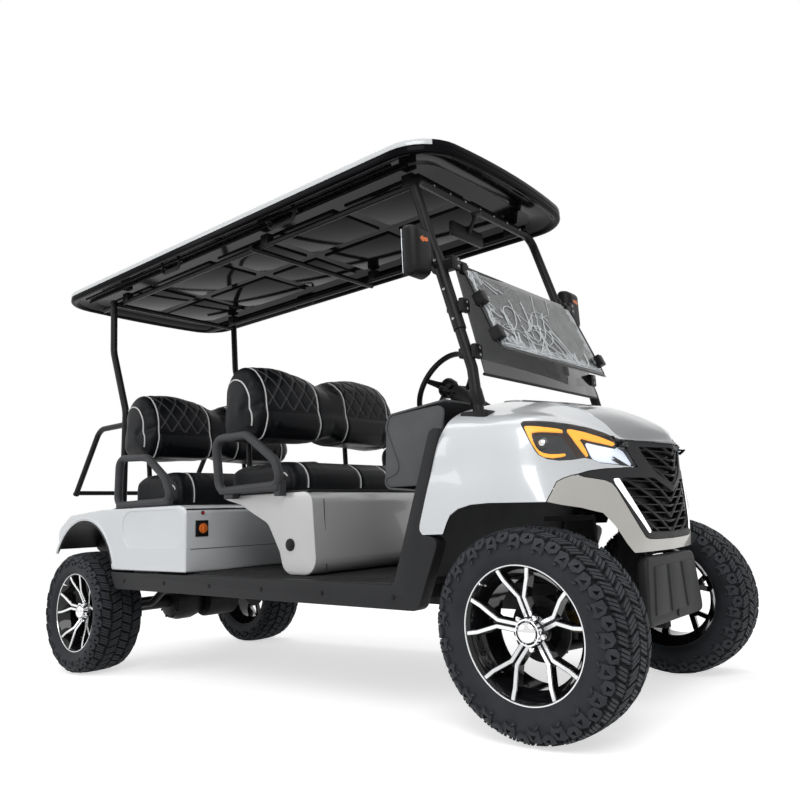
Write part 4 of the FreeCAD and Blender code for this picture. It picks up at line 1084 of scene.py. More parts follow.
backing = patch("grille_backing", whole_width([
    (1524, 0, 825), (1470, -200, 825), (1478, -180, 745), (1440, -300, 725), (1480, -180, 535),
    (1490, 0, 535),
]), -26, 3)
settle(backing, black_plastic)

# %% [markdown]
# ### Headlights
#
# A headlight is a black bowl with a lens in a ring, a pale reflector that glows as a painted reflection,
# two amber light lines, and a clear cover that closes it flush. Each one is a patch of the nose's skin, at a
# depth and thickness of its own.

# %% Headlights
REAR_DRL = loop([
    (1275, -543, 882), (1291, -536, 882), (1324, -512, 877), (1353, -475, 871), (1363, -461, 866),
    (1361, -466, 861), (1347, -487, 862), (1312, -529, 864), (1297, -543, 862), (1298, -545, 850),
    (1302, -546, 835), (1309, -545, 817), (1317, -541, 804), (1327, -533, 796), (1340, -517, 792),
    (1355, -494, 792), (1368, -471, 794), (1369, -472, 788), (1359, -489, 784), (1345, -513, 781),
    (1329, -532, 784), (1318, -542, 792), (1310, -547, 807), (1299, -550, 828), (1288, -549, 853),
], bend=3, steps=2)
FRONT_DRL = loop([
    (1368, -452, 868), (1374, -440, 870), (1399, -394, 861), (1425, -339, 846), (1447, -283, 828),
    (1446, -285, 820), (1425, -342, 830), (1407, -384, 837), (1396, -408, 843), (1392, -418, 837),
    (1397, -409, 823), (1402, -400, 805), (1406, -393, 785), (1402, -402, 785), (1396, -415, 801),
    (1385, -433, 829),
], bend=3, steps=2)
FRONT_BOWL = loop([
    (1401, -399, 832), (1424, -345, 822), (1449, -280, 813), (1455, -256, 822), (1464, -225, 785),
    (1470, -203, 757), (1455, -256, 762), (1422, -351, 769), (1414, -372, 774), (1409, -384, 792),
], bend=4, steps=2)
lamps = []
for sign in (-1, 1):
    across = list if sign < 0 else other_side
    side = "right" if sign < 0 else "left"
    outline = across(LAMP)
    lamps.append(settle(patch("lamp_cover_" + side, outline, -0.5, 2.5), lamp_cover))
    floor_of_lamp = patch("lamp_bowl_" + side, outline, -26, 3)
    wall = grid("lamp_wall", [[on_nose(p, lift) for p in [*outline, outline[0]]] for lift in (-3, -27)])
    modify(wall, "SOLIDIFY", thickness=2.5, offset=0)
    settle(joined("lamp_bowl_" + side, [floor_of_lamp, wall]), gloss_black)
    drl = joined("amber_lines_" + side, [
        patch("rear_drl", across(REAR_DRL), -5, 9), patch("front_drl", across(FRONT_DRL), -5, 9),
    ])
    settle(drl, amber_light)
    heart = on_nose((1326, sign * 520, 828), -17)
    out = (heart - HEART).normalized()
    settle(disc("projector_ring_" + side, heart, out, 19, 12, 3), gloss_black)
    settle(disc("projector_" + side, heart + out * 4, out, 11, 12, 5), chrome)
    # The reflector's glow is a painted reflection.
    settle(patch("front_reflector_" + side, across(FRONT_BOWL), -15, 4), reflector_painted_shine)
    settle(patch("led_bar_" + side, across(LED_BAR), 1.5, 8), running_light)
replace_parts(lamps[0], "headlights")
bpy.data.objects.remove(nose)
print("nose done")

# %% [markdown]
# ## Roof, frame and windscreen
#
# The roof is a shallow tray. Its outline is a rounded rectangle with bowed ends, drawn in step by step
# from the rim to the middle for the pale top, and again from below for the gloss black underside.
# The frame is bent tube with welded pads, flanged feet and bolts.

# %% The roof's outline, drawn in by an inset
ROOF_FRONT = 1036
ROOF_REAR = -1767
ROOF_HALF = 574
ROOF_BOW = 44
ROOF_MIDDLE = -366
ROOF_STRAIGHT = 900


def roof_ring(inset, z, steps=8, along=18, across=10):
    """One closed line round the roof."""
    half, front, rear = ROOF_HALF - inset, ROOF_FRONT - inset, ROOF_REAR + inset
    corner = max(min(172 - inset * 0.5, half * 0.95), 2)
    corners = ((front - corner, half - corner, 0), (rear + corner, half - corner, 90),
               (rear + corner, corner - half, 180), (front - corner, corner - half, 270))
    line = []
    for k, (x, y, start) in enumerate(corners):
        for i in range(steps + 1):
            turn = math.radians(start + 90 * i / steps)
            line.append(Vector((x + corner * math.cos(turn), y + corner * math.sin(turn), z)))
        x_next, y_next, turn_next = corners[(k + 1) % 4]
        turn = math.radians(turn_next)
        goal = Vector((x_next + corner * math.cos(turn), y_next + corner * math.sin(turn), z))
        count = along if k % 2 == 0 else across
        here = line[-1]
        line += [here.lerp(goal, i / count) for i in range(1, count)]
    for point in line:
        share = min(1, max(0, abs(point.x - ROOF_MIDDLE) - ROOF_STRAIGHT) / 500)
        point.x -= math.copysign(ROOF_BOW * share * (point.y / ROOF_HALF) ** 2, point.x - ROOF_MIDDLE)
    return line + [line[0].copy()]


def tray(name, steps):
    """A closed ring of the roof carried through (inset, height) steps and closed in the middle."""
    return facing_out(grid(name, [roof_ring(inset, z) for inset, z in steps]), 0.5)


# %% The pale top and the black rim
RIM_DEPTH = 62
RIM_TOP = 1983.5
roof_top = tray("roof_top", [
    (2, 1954), (0, 1956), (0, 1971), (3, 1978), (10, 1982), (24, 1984), (60, 1985), (150, 1987),
    (300, 1988.5), (480, 1990), (573, 1990),
])
settle(roof_top, roof_white)
roof_top.data.materials.append(roof_gloss)
for face in roof_top.data.polygons:
    place = RIDE.inverted() @ face.center
    if place.x > ROOF_FRONT - RIM_DEPTH and place.z < RIM_TOP:
        face.material_index = 1
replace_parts(roof_top, "roof")
roof_under = tray("roof_under", [
    (1, 1955), (2, 1953), (2, 1950), (0, 1948), (0, 1934), (4, 1928), (12, 1925), (22, 1926.5),
    (30, 1931), (35, 1937), (46, 1940), (118, 1941), (124, 1945), (132, 1947), (560, 1951), (573, 1951),
])
settle(roof_under, roof_gloss)
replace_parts(roof_under, "roof_lining")

# %% Recessed panels, ribs and grips under the roof
pressings = []
for x_low, x_high in ((-1560, -1120), (-1060, -560), (-500, -160), (-100, 330), (390, 800)):
    for sign in (-1, 1):
        y_low, y_high = sorted((sign * 30, sign * 350))
        pressings.append(box("pressing", (x_low, y_low, 1942), (x_high, y_high, 1956), 12, 4))
settle(joined("roof_pressings", pressings), roof_gloss)
ribs = []
for sign in (-1, 1):
    for y, rear, front, z, radius in ((452, -1600, 820, 1943, 9), (500, -1560, 780, 1941, 5)):
        ribs.append(bar("rib", [(rear, sign * y, z), (front, sign * y, z)], radius, 1))
settle(joined("roof_ribs", ribs), roof_gloss)
grips = []
for x_low, x_high in ((51, 223), (-788, -636)):
    for sign in (-1, 1):
        y = sign * 482
        line = [(x_low, y, 1943), (x_low + 8, y, 1903), (x_high - 8, y, 1903), (x_high, y, 1943)]
        grips.append(bar("grip", line, 8, 22))
        grips += [disc("grip_foot", (x, y, 1939), (0, 0, 1), 15, 6) for x in (x_low, x_high)]
settle(joined("roof_grips", grips), charcoal_plastic)
print("roof done")

# %% Screen hoop and rear poles
HOOP_X = 839
HOOP_Y = 454
HOOP_Z = 1888
POLE_X = -1185
POLE_Y = 438
RAIL_Y = 385
TUBE = 19
hoop_right = [(1093, -494, 912), (1062, -470, 1104), (HOOP_X, -HOOP_Y, HOOP_Z)]
hoop_path = hoop_right + [(x, -y, z) for x, y, z in reversed(hoop_right)]
tubes = [bar("hoop", hoop_path, TUBE, 60, sides=6)]
for sign in (-1, 1):
    y = sign * POLE_Y
    line = [(POLE_X, y, 704), (POLE_X, y, 1230), (-1333, y, 1588), (-1350, y, 1896)]
    tubes.append(bar("pole", line, TUBE, 130, sides=6))
    y = sign * RAIL_Y
    tubes.append(bar("rail", [(HOOP_X, y, 1892), (-1550, y, 1892)], 14, 1, sides=6))
for x, y in ((-1350, POLE_Y), (-130, POLE_Y)):
    tubes.append(bar("cross", [(x, -y, 1878), (x, y, 1878)], 13, 1, sides=6))
roof_tubes = settle(joined("roof_tubes", tubes), frame_paint)
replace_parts(roof_tubes, "roof_frame")

# %% Pads, sleeves, feet and bolts of the frame
fittings = []
bolts = []
for sign in (-1, 1):
    for x in (HOOP_X - 60, -70, -1290):
        y = sign * RAIL_Y
        fittings.append(box("pad", (x - 26, y - 20, 1888), (x + 26, y + 20, 1939), 3))
        bolts += [disc("pad_bolt", (x + dx, y, 1887), (0, 0, 1), 6, 6, sides=6) for dx in (-14, 14)]
    lower = Vector((1022, sign * 467.5, 1248))
    upper = Vector((936, sign * 461, 1552))
    fittings.append(bar("sleeve", [lower, upper], TUBE + 4, 1, sides=6))
    for share in (0.12, 0.5, 0.88):
        at = lower.lerp(upper, share)
        bolts.append(disc("sleeve_bolt", at + Vector((0, sign * (TUBE + 5), 0)), (0, 1, 0), 6, 6, sides=6))
    foot = on_nose((1093, sign * 497, 938))
    fittings.append(box("hoop_foot", (1040, sign * 500 - 34, 898), (1142, sign * 500 + 34, foot.z + 6), 9))
    fittings.append(disc("foot_collar", (1080, sign * 484, 1000), (0.17, -sign * 0.12, -1), TUBE + 5, 56, 3))
    fittings.append(disc("pole_flange", (POLE_X, sign * POLE_Y, 709), (0, 0, 1), 44, 10, 3))
    for turn in range(4):
        spin = math.radians(45 + 90 * turn)
        place = (POLE_X + 32 * math.cos(spin), sign * POLE_Y + 32 * math.sin(spin), 716)
        bolts.append(disc("flange_bolt", place, (0, 0, 1), 5, 7, sides=6))
for i in range(7):
    bolts.append(disc("hoop_bolt", (HOOP_X + TUBE, -330 + i * 110, HOOP_Z), (1, 0, 0), 6.5, 5, sides=6))
settle(joined("frame_fittings", fittings), frame_paint)
settle(joined("frame_bolts", bolts), bare_steel)

# %% The fixed lower pane and its clamps
HINGE_X = 1006
HINGE_Z = 1506
PANE_HALF = 440
pane = plate("screen_lower", [(1088, 1086), (1093, 1087), (1002, 1490), (997, 1489)], -PANE_HALF, PANE_HALF)
eased(pane, 1.5)
settle(pane, screen_tint)
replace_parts(pane, "windscreen_lower")
seal = bar("screen_seal", [(1087, -PANE_HALF, 1084), (1087, PANE_HALF, 1084)], 5, 1)
settle(seal, black_plastic)
clamps = []
clamp_bolts = []
for sign in (-1, 1):
    y_low, y_high = sorted((sign * 426, sign * 472))
    for x, z in ((1070, 1160), (1032, 1330), (HINGE_X, HINGE_Z - 14)):
        clamps.append(box("clamp", (x - 60, y_low, z - 14), (x + 12, y_high, z + 22), 5))
        clamps.append(box("clamp_jaw", (x - 4, y_low - 6, z - 22), (x + 14, y_high - 6, z + 28), 4))
        clamp_bolts += [disc("clamp_bolt", (x + 13, sign * 446, z + dz), (1, 0, 0), 6, 5, sides=6)
                        for dz in (-8, 16)]
    clamps.append(bar("hinge_pin", [(HINGE_X, sign * 450, HINGE_Z), (HINGE_X, sign * 384, HINGE_Z)], 4, 1))
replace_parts(settle(joined("screen_clamps", clamps), black_plastic), "screen_clamps")
settle(joined("clamp_bolts", clamp_bolts), bare_steel)

# %% The upper pane, folded down
UPPER_HALF = 420
FOLD_TOP = Vector((1011, 0, 1497))
FOLD_LOW = Vector((1148, 0, 1163))
fold_out = Vector((FOLD_TOP.z - FOLD_LOW.z, 0, FOLD_LOW.x - FOLD_TOP.x)).normalized()


def fold_point(y, share, lift):
    """A place on the folded pane: across, from its hinge down, and off its face."""
    return FOLD_TOP.lerp(FOLD_LOW, share) + Vector((0, y, 0)) + fold_out * lift


upper = grid("screen_upper", [
    [fold_point(-UPPER_HALF + 2 * UPPER_HALF * j / 24, i / 10, 0) for j in range(25)] for i in range(11)
])
modify(upper, "SOLIDIFY", thickness=4, offset=0)
eased(upper, 1.2)
settle(upper, screen_tint, body="windscreen_upper")
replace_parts(upper, "windscreen_upper")
EDGE_Y = UPPER_HALF - 3
edge = [fold_point(y, share, 0) for y, share in (
    (-EDGE_Y, 0.02), (-EDGE_Y, 0.985), (EDGE_Y, 0.985), (EDGE_Y, 0.02))]
settle(bar("upper_edge", edge, 3.6, 26), black_plastic, body="windscreen_upper")
barrels = [bar("barrel", [(HINGE_X, sign * 424, HINGE_Z), (HINGE_X, sign * 380, HINGE_Z)], 8.5, 1)
           for sign in (-1, 1)]
for y in (-402, 402):
    barrels.append(box("strap", (HINGE_X - 4, y - 18, HINGE_Z - 40), (HINGE_X + 16, y + 18, HINGE_Z - 6), 2))
lean = Matrix.Rotation(math.radians(-22), 4, "Y")
for y, share in ((-406, 0.42), (-406, 0.83), (406, 0.80)):
    holder = box("holder", (-20, -18, -24), (20, 18, 24), 4)
    holder.data.transform(Matrix.Translation(fold_point(y, share, 7)) @ lean)
    barrels.append(holder)
settle(joined("hinge_barrels", barrels), black_plastic, body="windscreen_upper")

# %% [markdown]
# ### The protective film
#
# The folded pane still wears its packing film. It clings flat in places, stands off in folds and is
# milky where it is crumpled. A fine sheet just off the glass is pushed about by two cloud textures. The
# folded bands along its sides get a denser finish, and thin ridges in chance directions are its creases.

# %% The film's sheet and folds
CREASE_COUNT = 38
CREASE_STEP = 15
CREASE_LIFT = 4.2
film = grid("screen_film", [
    [fold_point(-400 + 800 * j / 90, 0.05 + 0.9 * i / 45, 3.4) for j in range(91)] for i in range(46)
])
for name, size, strength in (("film_folds", 46, 5.0), ("film_creases", 17, 2.4)):
    folds = bpy.data.textures.new(name, "CLOUDS")
    folds.noise_scale = size
    folds.noise_depth = 2
    modify(film, "DISPLACE", texture=folds, strength=strength, mid_level=0.35, texture_coords="LOCAL")
modify(film, "SOLIDIFY", thickness=0.5, offset=0)
settle(film, film_milk, body="windscreen_upper", angle=60)
film.data.materials.append(film_fold)
pane_height = (FOLD_LOW - FOLD_TOP).length
for face in film.data.polygons:
    place = RIDE.inverted() @ face.center
    share = (FOLD_TOP.z - place.z) / (FOLD_TOP.z - FOLD_LOW.z)
    ragged = math.sin(place.y / 37) + math.sin(place.y / 17 + 2) + math.sin(share * 19)
    ragged += math.sin(share * 41 + place.y / 60)
    if place.y < -352 + 22 * ragged or share > 0.83 + 0.045 * ragged or place.y > 372 + 9 * ragged:
        face.material_index = 1

# %% Its creases
dice = random.Random(11)
creases = []
for i in range(CREASE_COUNT):
    y = dice.triangular(-395, 395, -260)
    share = dice.triangular(0.08, 0.94, 0.75)
    heading = dice.uniform(0, math.tau)
    turn = dice.gauss(0, 0.13)
    line = []
    for step in range(dice.randint(6, 22)):
        line.append(fold_point(y, share, CREASE_LIFT))
        heading += turn + dice.gauss(0, 0.16)
        y = min(398, max(-398, y + CREASE_STEP * math.cos(heading)))
        share = min(0.95, max(0.05, share + CREASE_STEP * math.sin(heading) / pane_height))
    creases.append(curve("crease", line, dice.uniform(1.0, 3.4), sides=1))
for y, share in ((-398, 0.5), (0, 0.94)):
    for k in range(3):
        line = []
        for i in range(21):
            aside = y + (0 if y else -390 + 780 * i / 20) + 5 * dice.gauss(0, 1) + 6 * k
            down = 0.06 + 0.88 * i / 20 if y else share - 0.015 * k + 0.008 * dice.gauss(0, 1)
            line.append(fold_point(aside, down, CREASE_LIFT))
        creases.append(curve("crease", line, 2.2, sides=1))
settle(joined("film_creases", creases), film_crease, body="windscreen_upper")
print("screen done")

# %% [markdown]
# ### Mirrors
#
# A side mirror is a rounded block that narrows forwards, with a small amber arrow let into its front. Its
# stalk is a bent bar that a clamp holds on the hoop. The inner mirror hangs from the hoop's cross bar.

# %% Mirrors
MIRROR_BACK = 907
MIRROR_FRONT = 974
ARROW = [(606, 1562), (588, 1576), (588, 1569), (560, 1573), (560, 1559), (588, 1555), (588, 1549)]
housings = []
faces = []
arrows = []
for sign in (-1, 1):
    y_low, y_high = sorted((sign * 522, sign * 638))
    shell = box("mirror", (MIRROR_BACK, y_low, 1432), (MIRROR_FRONT, y_high, 1623), 26, 6)
    for vertex in shell.data.vertices:
        share = (vertex.co.x - MIRROR_BACK) / (MIRROR_FRONT - MIRROR_BACK)
        middle = Vector((vertex.co.x, sign * 580, 1528))
        vertex.co = middle + (vertex.co - middle) * (1 - 0.16 * share ** 2)
    housings.append(shell)
    stalk = [(955, sign * 530, 1502), (950, sign * 500, 1496), (945, sign * 462, 1490)]
    housings.append(bar("stalk", stalk, 9, 14))
    housings.append(disc("stalk_clamp", (945, sign * 466, 1490), (0, 1, 0), 24, 22, 3))
    faces.append(box("mirror_face", (905.6, y_low + 14, 1446), (909, y_high - 14, 1609), 1.2))
    arrows.append(plate("arrow", [(sign * y, z) for y, z in ARROW], 972, 974.7, axis="X"))
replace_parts(settle(joined("mirror_housings", housings), black_plastic), "mirrors")
settle(joined("mirror_faces", faces), mirror_glass)
settle(joined("mirror_marks", arrows), orange_plastic)
inner = box("inner_mirror", (768, -118, 1762), (792, 118, 1828), 10, 4)
post = bar("inner_post", [(792, 0, 1800), (824, 0, 1850), (HOOP_X - 8, 0, HOOP_Z - 14)], 8, 16)
foot = disc("inner_foot", (HOOP_X - 4, 0, HOOP_Z - 14), (0.4, 0, -1), 22, 18)
settle(joined("inner_mirror", [inner, post, foot]), black_plastic)
settle(box("inner_glass", (765.5, -108, 1770), (769, 108, 1820), 1.2), mirror_glass)
print("mirrors done")

# %% [markdown]
# ## Seats
#
# Each row has one bench cushion and one back with two humps. A back starts as a stack of closed side
# profiles, one for each place across the cart. It is remeshed evenly, swelled with cloth pressure and
# divided once. Seams, channels and the diamond quilting are then pressed into the swelled skin, and the
# pipings and threads are laid on it.

# %% Soft forms
PIPING_Y = (95, 418)
CORD = 3.4
SEAM_WIDTH = 9.0
SWELL_FRAMES = 20
QUILT_FOOT = 1112
QUILT_WIDE = 82.0
QUILT_TALL = 104.0


def smoothstep(low, high, value):
    share = min(1.0, max(0.0, (value - low) / (high - low)))
    return share * share * (3 - 2 * share)


def lofted(name, sections):
    """Closed sections joined one to the next, with both ends filled."""
    return facing_out(grid(name, [[*section, section[0].copy()] for section in sections]), WELD, capped=True)


def swelled(piece, cap, voxel=10.0, pressure=4.0):
    """Even mesh, cloth pressure, a cap on how far any point moved, and one subdivision."""
    modify(piece, "REMESH", mode="VOXEL", voxel_size=voxel)
    modify(piece, "SMOOTH", factor=0.5, iterations=6)
    start = [v.co.copy() for v in piece.data.vertices]
    piece.data.transform(to_metres)
    alone(piece)
    cloth = piece.modifiers.new("cloth", "CLOTH")
    cloth.settings.use_pressure = True
    cloth.settings.uniform_pressure_force = pressure
    cloth.settings.effector_weights.gravity = 0
    cloth.settings.quality = 4
    cloth.point_cache.frame_start = 1
    cloth.point_cache.frame_end = SWELL_FRAMES
    for frame_number in range(1, SWELL_FRAMES + 1):
        bpy.context.scene.frame_set(frame_number)
    bpy.ops.object.modifier_apply(modifier=cloth.name)
    bpy.context.scene.frame_set(1)
    piece.data.transform(to_metres.inverted())
    for vertex, rest in zip(piece.data.vertices, start):
        move = vertex.co - rest
        if move.length > cap:
            vertex.co = rest + move * (cap / move.length)
    modify(piece, "SUBSURF", levels=1, render_levels=1)
    return piece


def pressed(piece, depth_at):
    """Presses the skin inwards by a depth that a rule gives for each place and its normal."""
    normals = [v.normal.copy() for v in piece.data.vertices]
    for vertex, normal in zip(piece.data.vertices, normals):
        vertex.co -= normal * depth_at(vertex.co, normal)
    piece.data.update()
    return piece


def laid(name, tree, starts, direction, radius, lift, sides=3):
    """A cord laid where rays from a row of places meet a skin."""
    path = []
    for start in starts:
        hit, normal, _, _ = tree.ray_cast(Vector(start), Vector(direction))
        if hit is not None:
            path.append(hit + normal * lift)
    if len(path) < 2:
        return None
    return curve(name, path, radius, sides=sides)


def groove(distance, width, depth):
    """How deep a seam presses at a distance from its line."""
    return depth * math.exp(-(distance / width) ** 2)


def quilt_lines(y, z, middle):
    """Distances from the two families of quilting lines."""
    along = (y - middle) / QUILT_WIDE
    rise = (z - QUILT_FOOT) / QUILT_TALL
    a = abs((along + rise + 0.5) % 1.0 - 0.5)
    b = abs((along - rise + 0.5) % 1.0 - 0.5)
    return a, b


# %% The form of a seat back
def back_top(y):
    """Height of the back's top across it: a dip in the middle and a rounded shoulder outside."""
    aside = abs(y)
    dip = 1288 + 34 * smoothstep(0, 110, aside)
    hump = dip + 22 * math.sin(math.pi * smoothstep(60, 500, aside))
    return hump - 64 * smoothstep(430, 520, aside) ** 1.6


def back_foot(y):
    """Height of the scalloped bottom edge."""
    aside = abs(y)
    return 962 + 26 * math.exp(-(aside / 62) ** 2) + 34 * smoothstep(440, 520, aside)


BACK_PROFILE = (
    (-62, 0.02), (-46, 0.08), (-40, 0.2), (-46, 0.34), (-58, 0.42), (-58, 0.5), (-66, 0.64), (-88, 0.8),
    (-122, 0.92), (-165, 0.985), (-205, 0.99), (-238, 0.93), (-256, 0.8), (-264, 0.55), (-266, 0.3),
    (-262, 0.12), (-240, 0.02), (-150, 0.0),
)
BACK_MIDDLE = -158


def back_place(x, share, y, at, squeeze):
    """A place on the profile at a station, drawn in towards the back's middle."""
    low, high = back_foot(at), back_top(at)
    up = 0.5 + (share - 0.5) * squeeze
    return Vector((BACK_MIDDLE + (x - BACK_MIDDLE) * squeeze, y, low + (high - low) * up))


def back_section(y):
    squeeze = 1 - 0.16 * smoothstep(478, 506, abs(y))
    return [back_place(x, share, y, y, squeeze) for x, share in BACK_PROFILE]


def back_depth(place, normal):
    """Seams, the crease under the quilting and the quilting itself, on the front of a back."""
    aside = abs(place.y)
    depth = 0.0
    if normal.x > -0.25:
        for line in PIPING_Y:
            depth += groove(aside - line, SEAM_WIDTH, 5.5)
        if PIPING_Y[0] < aside < PIPING_Y[1] and normal.x > 0.2:
            edge = min(aside - PIPING_Y[0], PIPING_Y[1] - aside)
            inside = smoothstep(0, 20, edge)
            depth += inside * groove(place.z - QUILT_FOOT, 8.0, 6.0)
            if place.z > QUILT_FOOT:
                a, b = quilt_lines(place.y, place.z, math.copysign(256, place.y))
                puff = min(1.0, a * 7) * min(1.0, b * 7)
                depth += inside * smoothstep(QUILT_FOOT, QUILT_FOOT + 16, place.z) * 3.4 * (1 - puff)
    depth += groove(aside - 500, 5.0, 2.5) if abs(normal.y) < 0.8 else 0.0
    return depth


def quilt_threads(name, tree):
    """Two parallel threads along every quilting line."""
    threads = []
    for sign in (-1, 1):
        middle = sign * 256
        for slope in (-1, 1):
            for k in range(-7, 8):
                for shift in (-3.2, 3.2):
                    starts = []
                    for i in range(30):
                        z = QUILT_FOOT + 2 + i * 9
                        y = middle + QUILT_WIDE * (k - slope * (z - QUILT_FOOT) / QUILT_TALL) + shift
                        inside = PIPING_Y[0] + 6 < abs(y) < PIPING_Y[1] - 6
                        if inside and z < back_top(y) - 3 and y * sign > 0:
                            starts.append((200, y, z))
                    if len(starts) > 1:
                        thread = laid(name, tree, starts, (-1, 0, 0), 0.9, 0.3, sides=1)
                        if thread:
                            threads.append(thread)
    return joined(name, threads)


# %% Seat backs
stations = [-506, -503, -496, -484, -468, -445, -418, -390, -350, -300, -250, -200, -155, -120, -95,
            -70, -40, 0]
stations += [-y for y in reversed(stations[:-1])]
back = lofted("seat_back", [back_section(y) for y in stations])
swelled(back, 14)
pressed(back, back_depth)
back_tree = surface_of(back)
cords = []
for sign in (-1, 1):
    for line in PIPING_Y:
        starts = [(260, sign * (line + (14 if line > 200 else -4) * smoothstep(1150, 985, z)), z)
                  for z in range(966, 1340, 8)]
        starts = [s for s in starts if s[2] < back_top(s[1]) - 2]
        cords.append(laid("cord", back_tree, starts, (-1, 0, 0), CORD, 1.5))
    side_path = []
    for x, share in BACK_PROFILE[1:12]:
        near, normal, _, _ = back_tree.find_nearest(back_place(x, share, sign * 503, sign * 500, 0.9))
        side_path.append(near + normal * 1.5)
    cords.append(curve("cord", spline(side_path, 4), CORD, sides=3))
cords = joined("back_piping", [c for c in cords if c])
threads = quilt_threads("back_threads", back_tree)
ROW_SHIFT = Matrix.Translation((-846, 0, -18))
for row, shift in (("front", Matrix.Identity(4)), ("rear", ROW_SHIFT)):
    skin = copied(back, row + "_seat_back", shift)
    settle(skin, leather, angle=70)
    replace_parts(skin, row + "_seat_back")
    settle(copied(cords, row + "_back_piping", shift), piping_white)
    settle(copied(threads, row + "_back_threads", shift), thread_white)
for piece in (back, cords, threads):
    bpy.data.objects.remove(piece)
print("seat backs done")

# %% [markdown]
# ### Cushions
#
# A bench is a shallow bun: thick in front, flat below and drawn in at its ends. It is lofted, swelled and
# pressed like the backs, with two seams that carry piping. The rear bench is the front one, moved, and
# made a little shorter and taller.

# %% Cushions
CUSHION_REAR = -190
CUSHION_FOOT = 739
CUSHION_SEAMS = (95, 420)
CUSHION_PROFILE = (
    (0.02, 0.0), (0.0, 0.25), (0.0, 0.7), (0.03, 0.93), (0.12, 1.0), (0.4, 1.02), (0.68, 1.04), (0.84, 1.0),
    (0.94, 0.86), (0.99, 0.6), (1.0, 0.3), (0.985, 0.0), (0.5, 0.0),
)


def cushion_section(y):
    squeeze = smoothstep(522, 494, abs(y))
    length = 415 - 14 * (1 - squeeze)
    rise = 96 + 12 * squeeze
    return [Vector((CUSHION_REAR + length * a, y, CUSHION_FOOT + rise * up)) for a, up in CUSHION_PROFILE]


def cushion_depth(place, normal):
    """The seams of a cushion, on its top and ends."""
    if normal.z < -0.5:
        return 0.0
    depth = 0.0
    for line in CUSHION_SEAMS:
        depth += groove(abs(place.y) - line, SEAM_WIDTH, 6.0)
    depth += groove(abs(place.y) - 512, 5.0, 2.0)
    return depth


across = [-520, -517, -508, -494, -470, -440, -420, -395, -330, -260, -190, -130, -95, -60, 0]
across += [-y for y in reversed(across[:-1])]
bench = lofted("bench", [cushion_section(y) for y in across])
swelled(bench, 12)
for vertex in bench.data.vertices:
    vertex.co.z = max(vertex.co.z, 738.0)
pressed(bench, cushion_depth)
bench_tree = surface_of(bench)
cords = []
for sign in (-1, 1):
    for line in CUSHION_SEAMS:
        y = sign * line
        fan = []
        for i in range(34):
            turn = math.radians(-78 + 168 * i / 33)
            fan.append((30 + 400 * math.cos(turn), y, 760 + 300 * math.sin(turn)))
        path = []
        for start in fan:
            hit, normal, _, _ = bench_tree.ray_cast(Vector(start), Vector((20, y, 770)) - Vector(start))
            if hit is not None and hit.z > 742:
                path.append(hit + normal * 1.5)
        cords.append(curve("cord", path, CORD, sides=3))
    path = []
    for x in range(-170, 221, 10):
        hit, normal, _, _ = bench_tree.ray_cast(Vector((x, sign * 508, 1000)), Vector((0, 0, -1)))
        if hit is not None:
            path.append(hit + normal * 1.2)
    cords.append(curve("cord", path, 3.2, sides=3))
cords = joined("bench_piping", cords)
bench_heel = Matrix.Translation((CUSHION_REAR, 0, CUSHION_FOOT))
resize = Matrix.Diagonal((0.95, 1, 1.32, 1))
REAR_BENCH = Matrix.Translation((-764, 0, -33)) @ bench_heel @ resize @ bench_heel.inverted()
for row, shift in (("front", Matrix.Identity(4)), ("rear", REAR_BENCH)):
    body = row + "_seat_cushion"
    skin = copied(bench, body, shift)
    settle(skin, leather, body=body, angle=70)
    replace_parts(skin, body)
    settle(copied(cords, row + "_bench_piping", shift), piping_white, body=body)
for piece in (bench, cords):
    bpy.data.objects.remove(piece)
print("cushions done")

# %% [markdown]
# ### Seat frames and arm rests
#
# Each back is carried by two bent posts with a flat plate behind the cushion. The arm rests are moulded
# loops, so a closed rounded line with a thick section draws them, widened a little to the sides.

# %% Bars behind the backs, arm rests
POST_Y = 330
ARM_Y = 573
posts = []
for sign in (-1, 1):
    y = sign * POST_Y
    posts.append(bar("post", [(-268, y, 724), (-277, y, 1000), (-277, y, 1225)], 13, 60))
    posts.append(box("post_foot", (-284, y - 22, 720), (-188, y + 22, 733), 3))
    posts.append(box("post_plate", (-291, y - 30, 1010), (-262, y + 30, 1200), 5))
    posts.append(bar("post", [(-1085, y, 700), (-1122, y, 1000), (-1122, y, 1205)], 13, 60))
    posts.append(box("post_plate", (-1137, y - 30, 990), (-1108, y + 30, 1180), 5))
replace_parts(settle(joined("seat_posts", posts), frame_paint), "seat_frames")


def arm(name, outer, thick=17, wide=1.25):
    """A closed moulded loop, a little wider than it is thick."""
    start = (Vector(outer[0]) + Vector(outer[-1])) / 2
    path = rounded([start, *outer, start], 46, 6)[:-1]
    piece = curve(name, path, thick, closed=True, sides=5)
    middle = outer[0][1]
    for vertex in piece.data.vertices:
        vertex.co.y = middle + (vertex.co.y - middle) * wide
    return piece


loops = []
for sign in (-1, 1):
    y = sign * ARM_Y
    front = [(-180, y, 752), (-208, y, 980), (2, y, 978), (176, y, 860), (216, y, 762)]
    rear = [(-1005, y, 722), (-1000, y, 955), (-745, y, 942), (-592, y, 836), (-530, y, 728)]
    loops.append(arm("front_arm", front))
    loops.append(box("arm_bar", (-170, y - 19, 737), (205, y + 19, 768), 12, 4))
    loops.append(arm("rear_arm", rear))
    loops.append(box("arm_bar", (-1000, y - 19, 705), (-545, y + 19, 738), 12, 4))
    near = sorted((sign * 541, sign * 580))
    loops.append(box("arm_bracket", (-145, near[0], 718), (-85, near[1], 750), 5))
    loops.append(box("arm_bracket", (172, near[0], 718), (208, near[1], 780), 5))
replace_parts(settle(joined("arm_loops", loops), arm_grey), "arm_rests")
print("seat frames done")

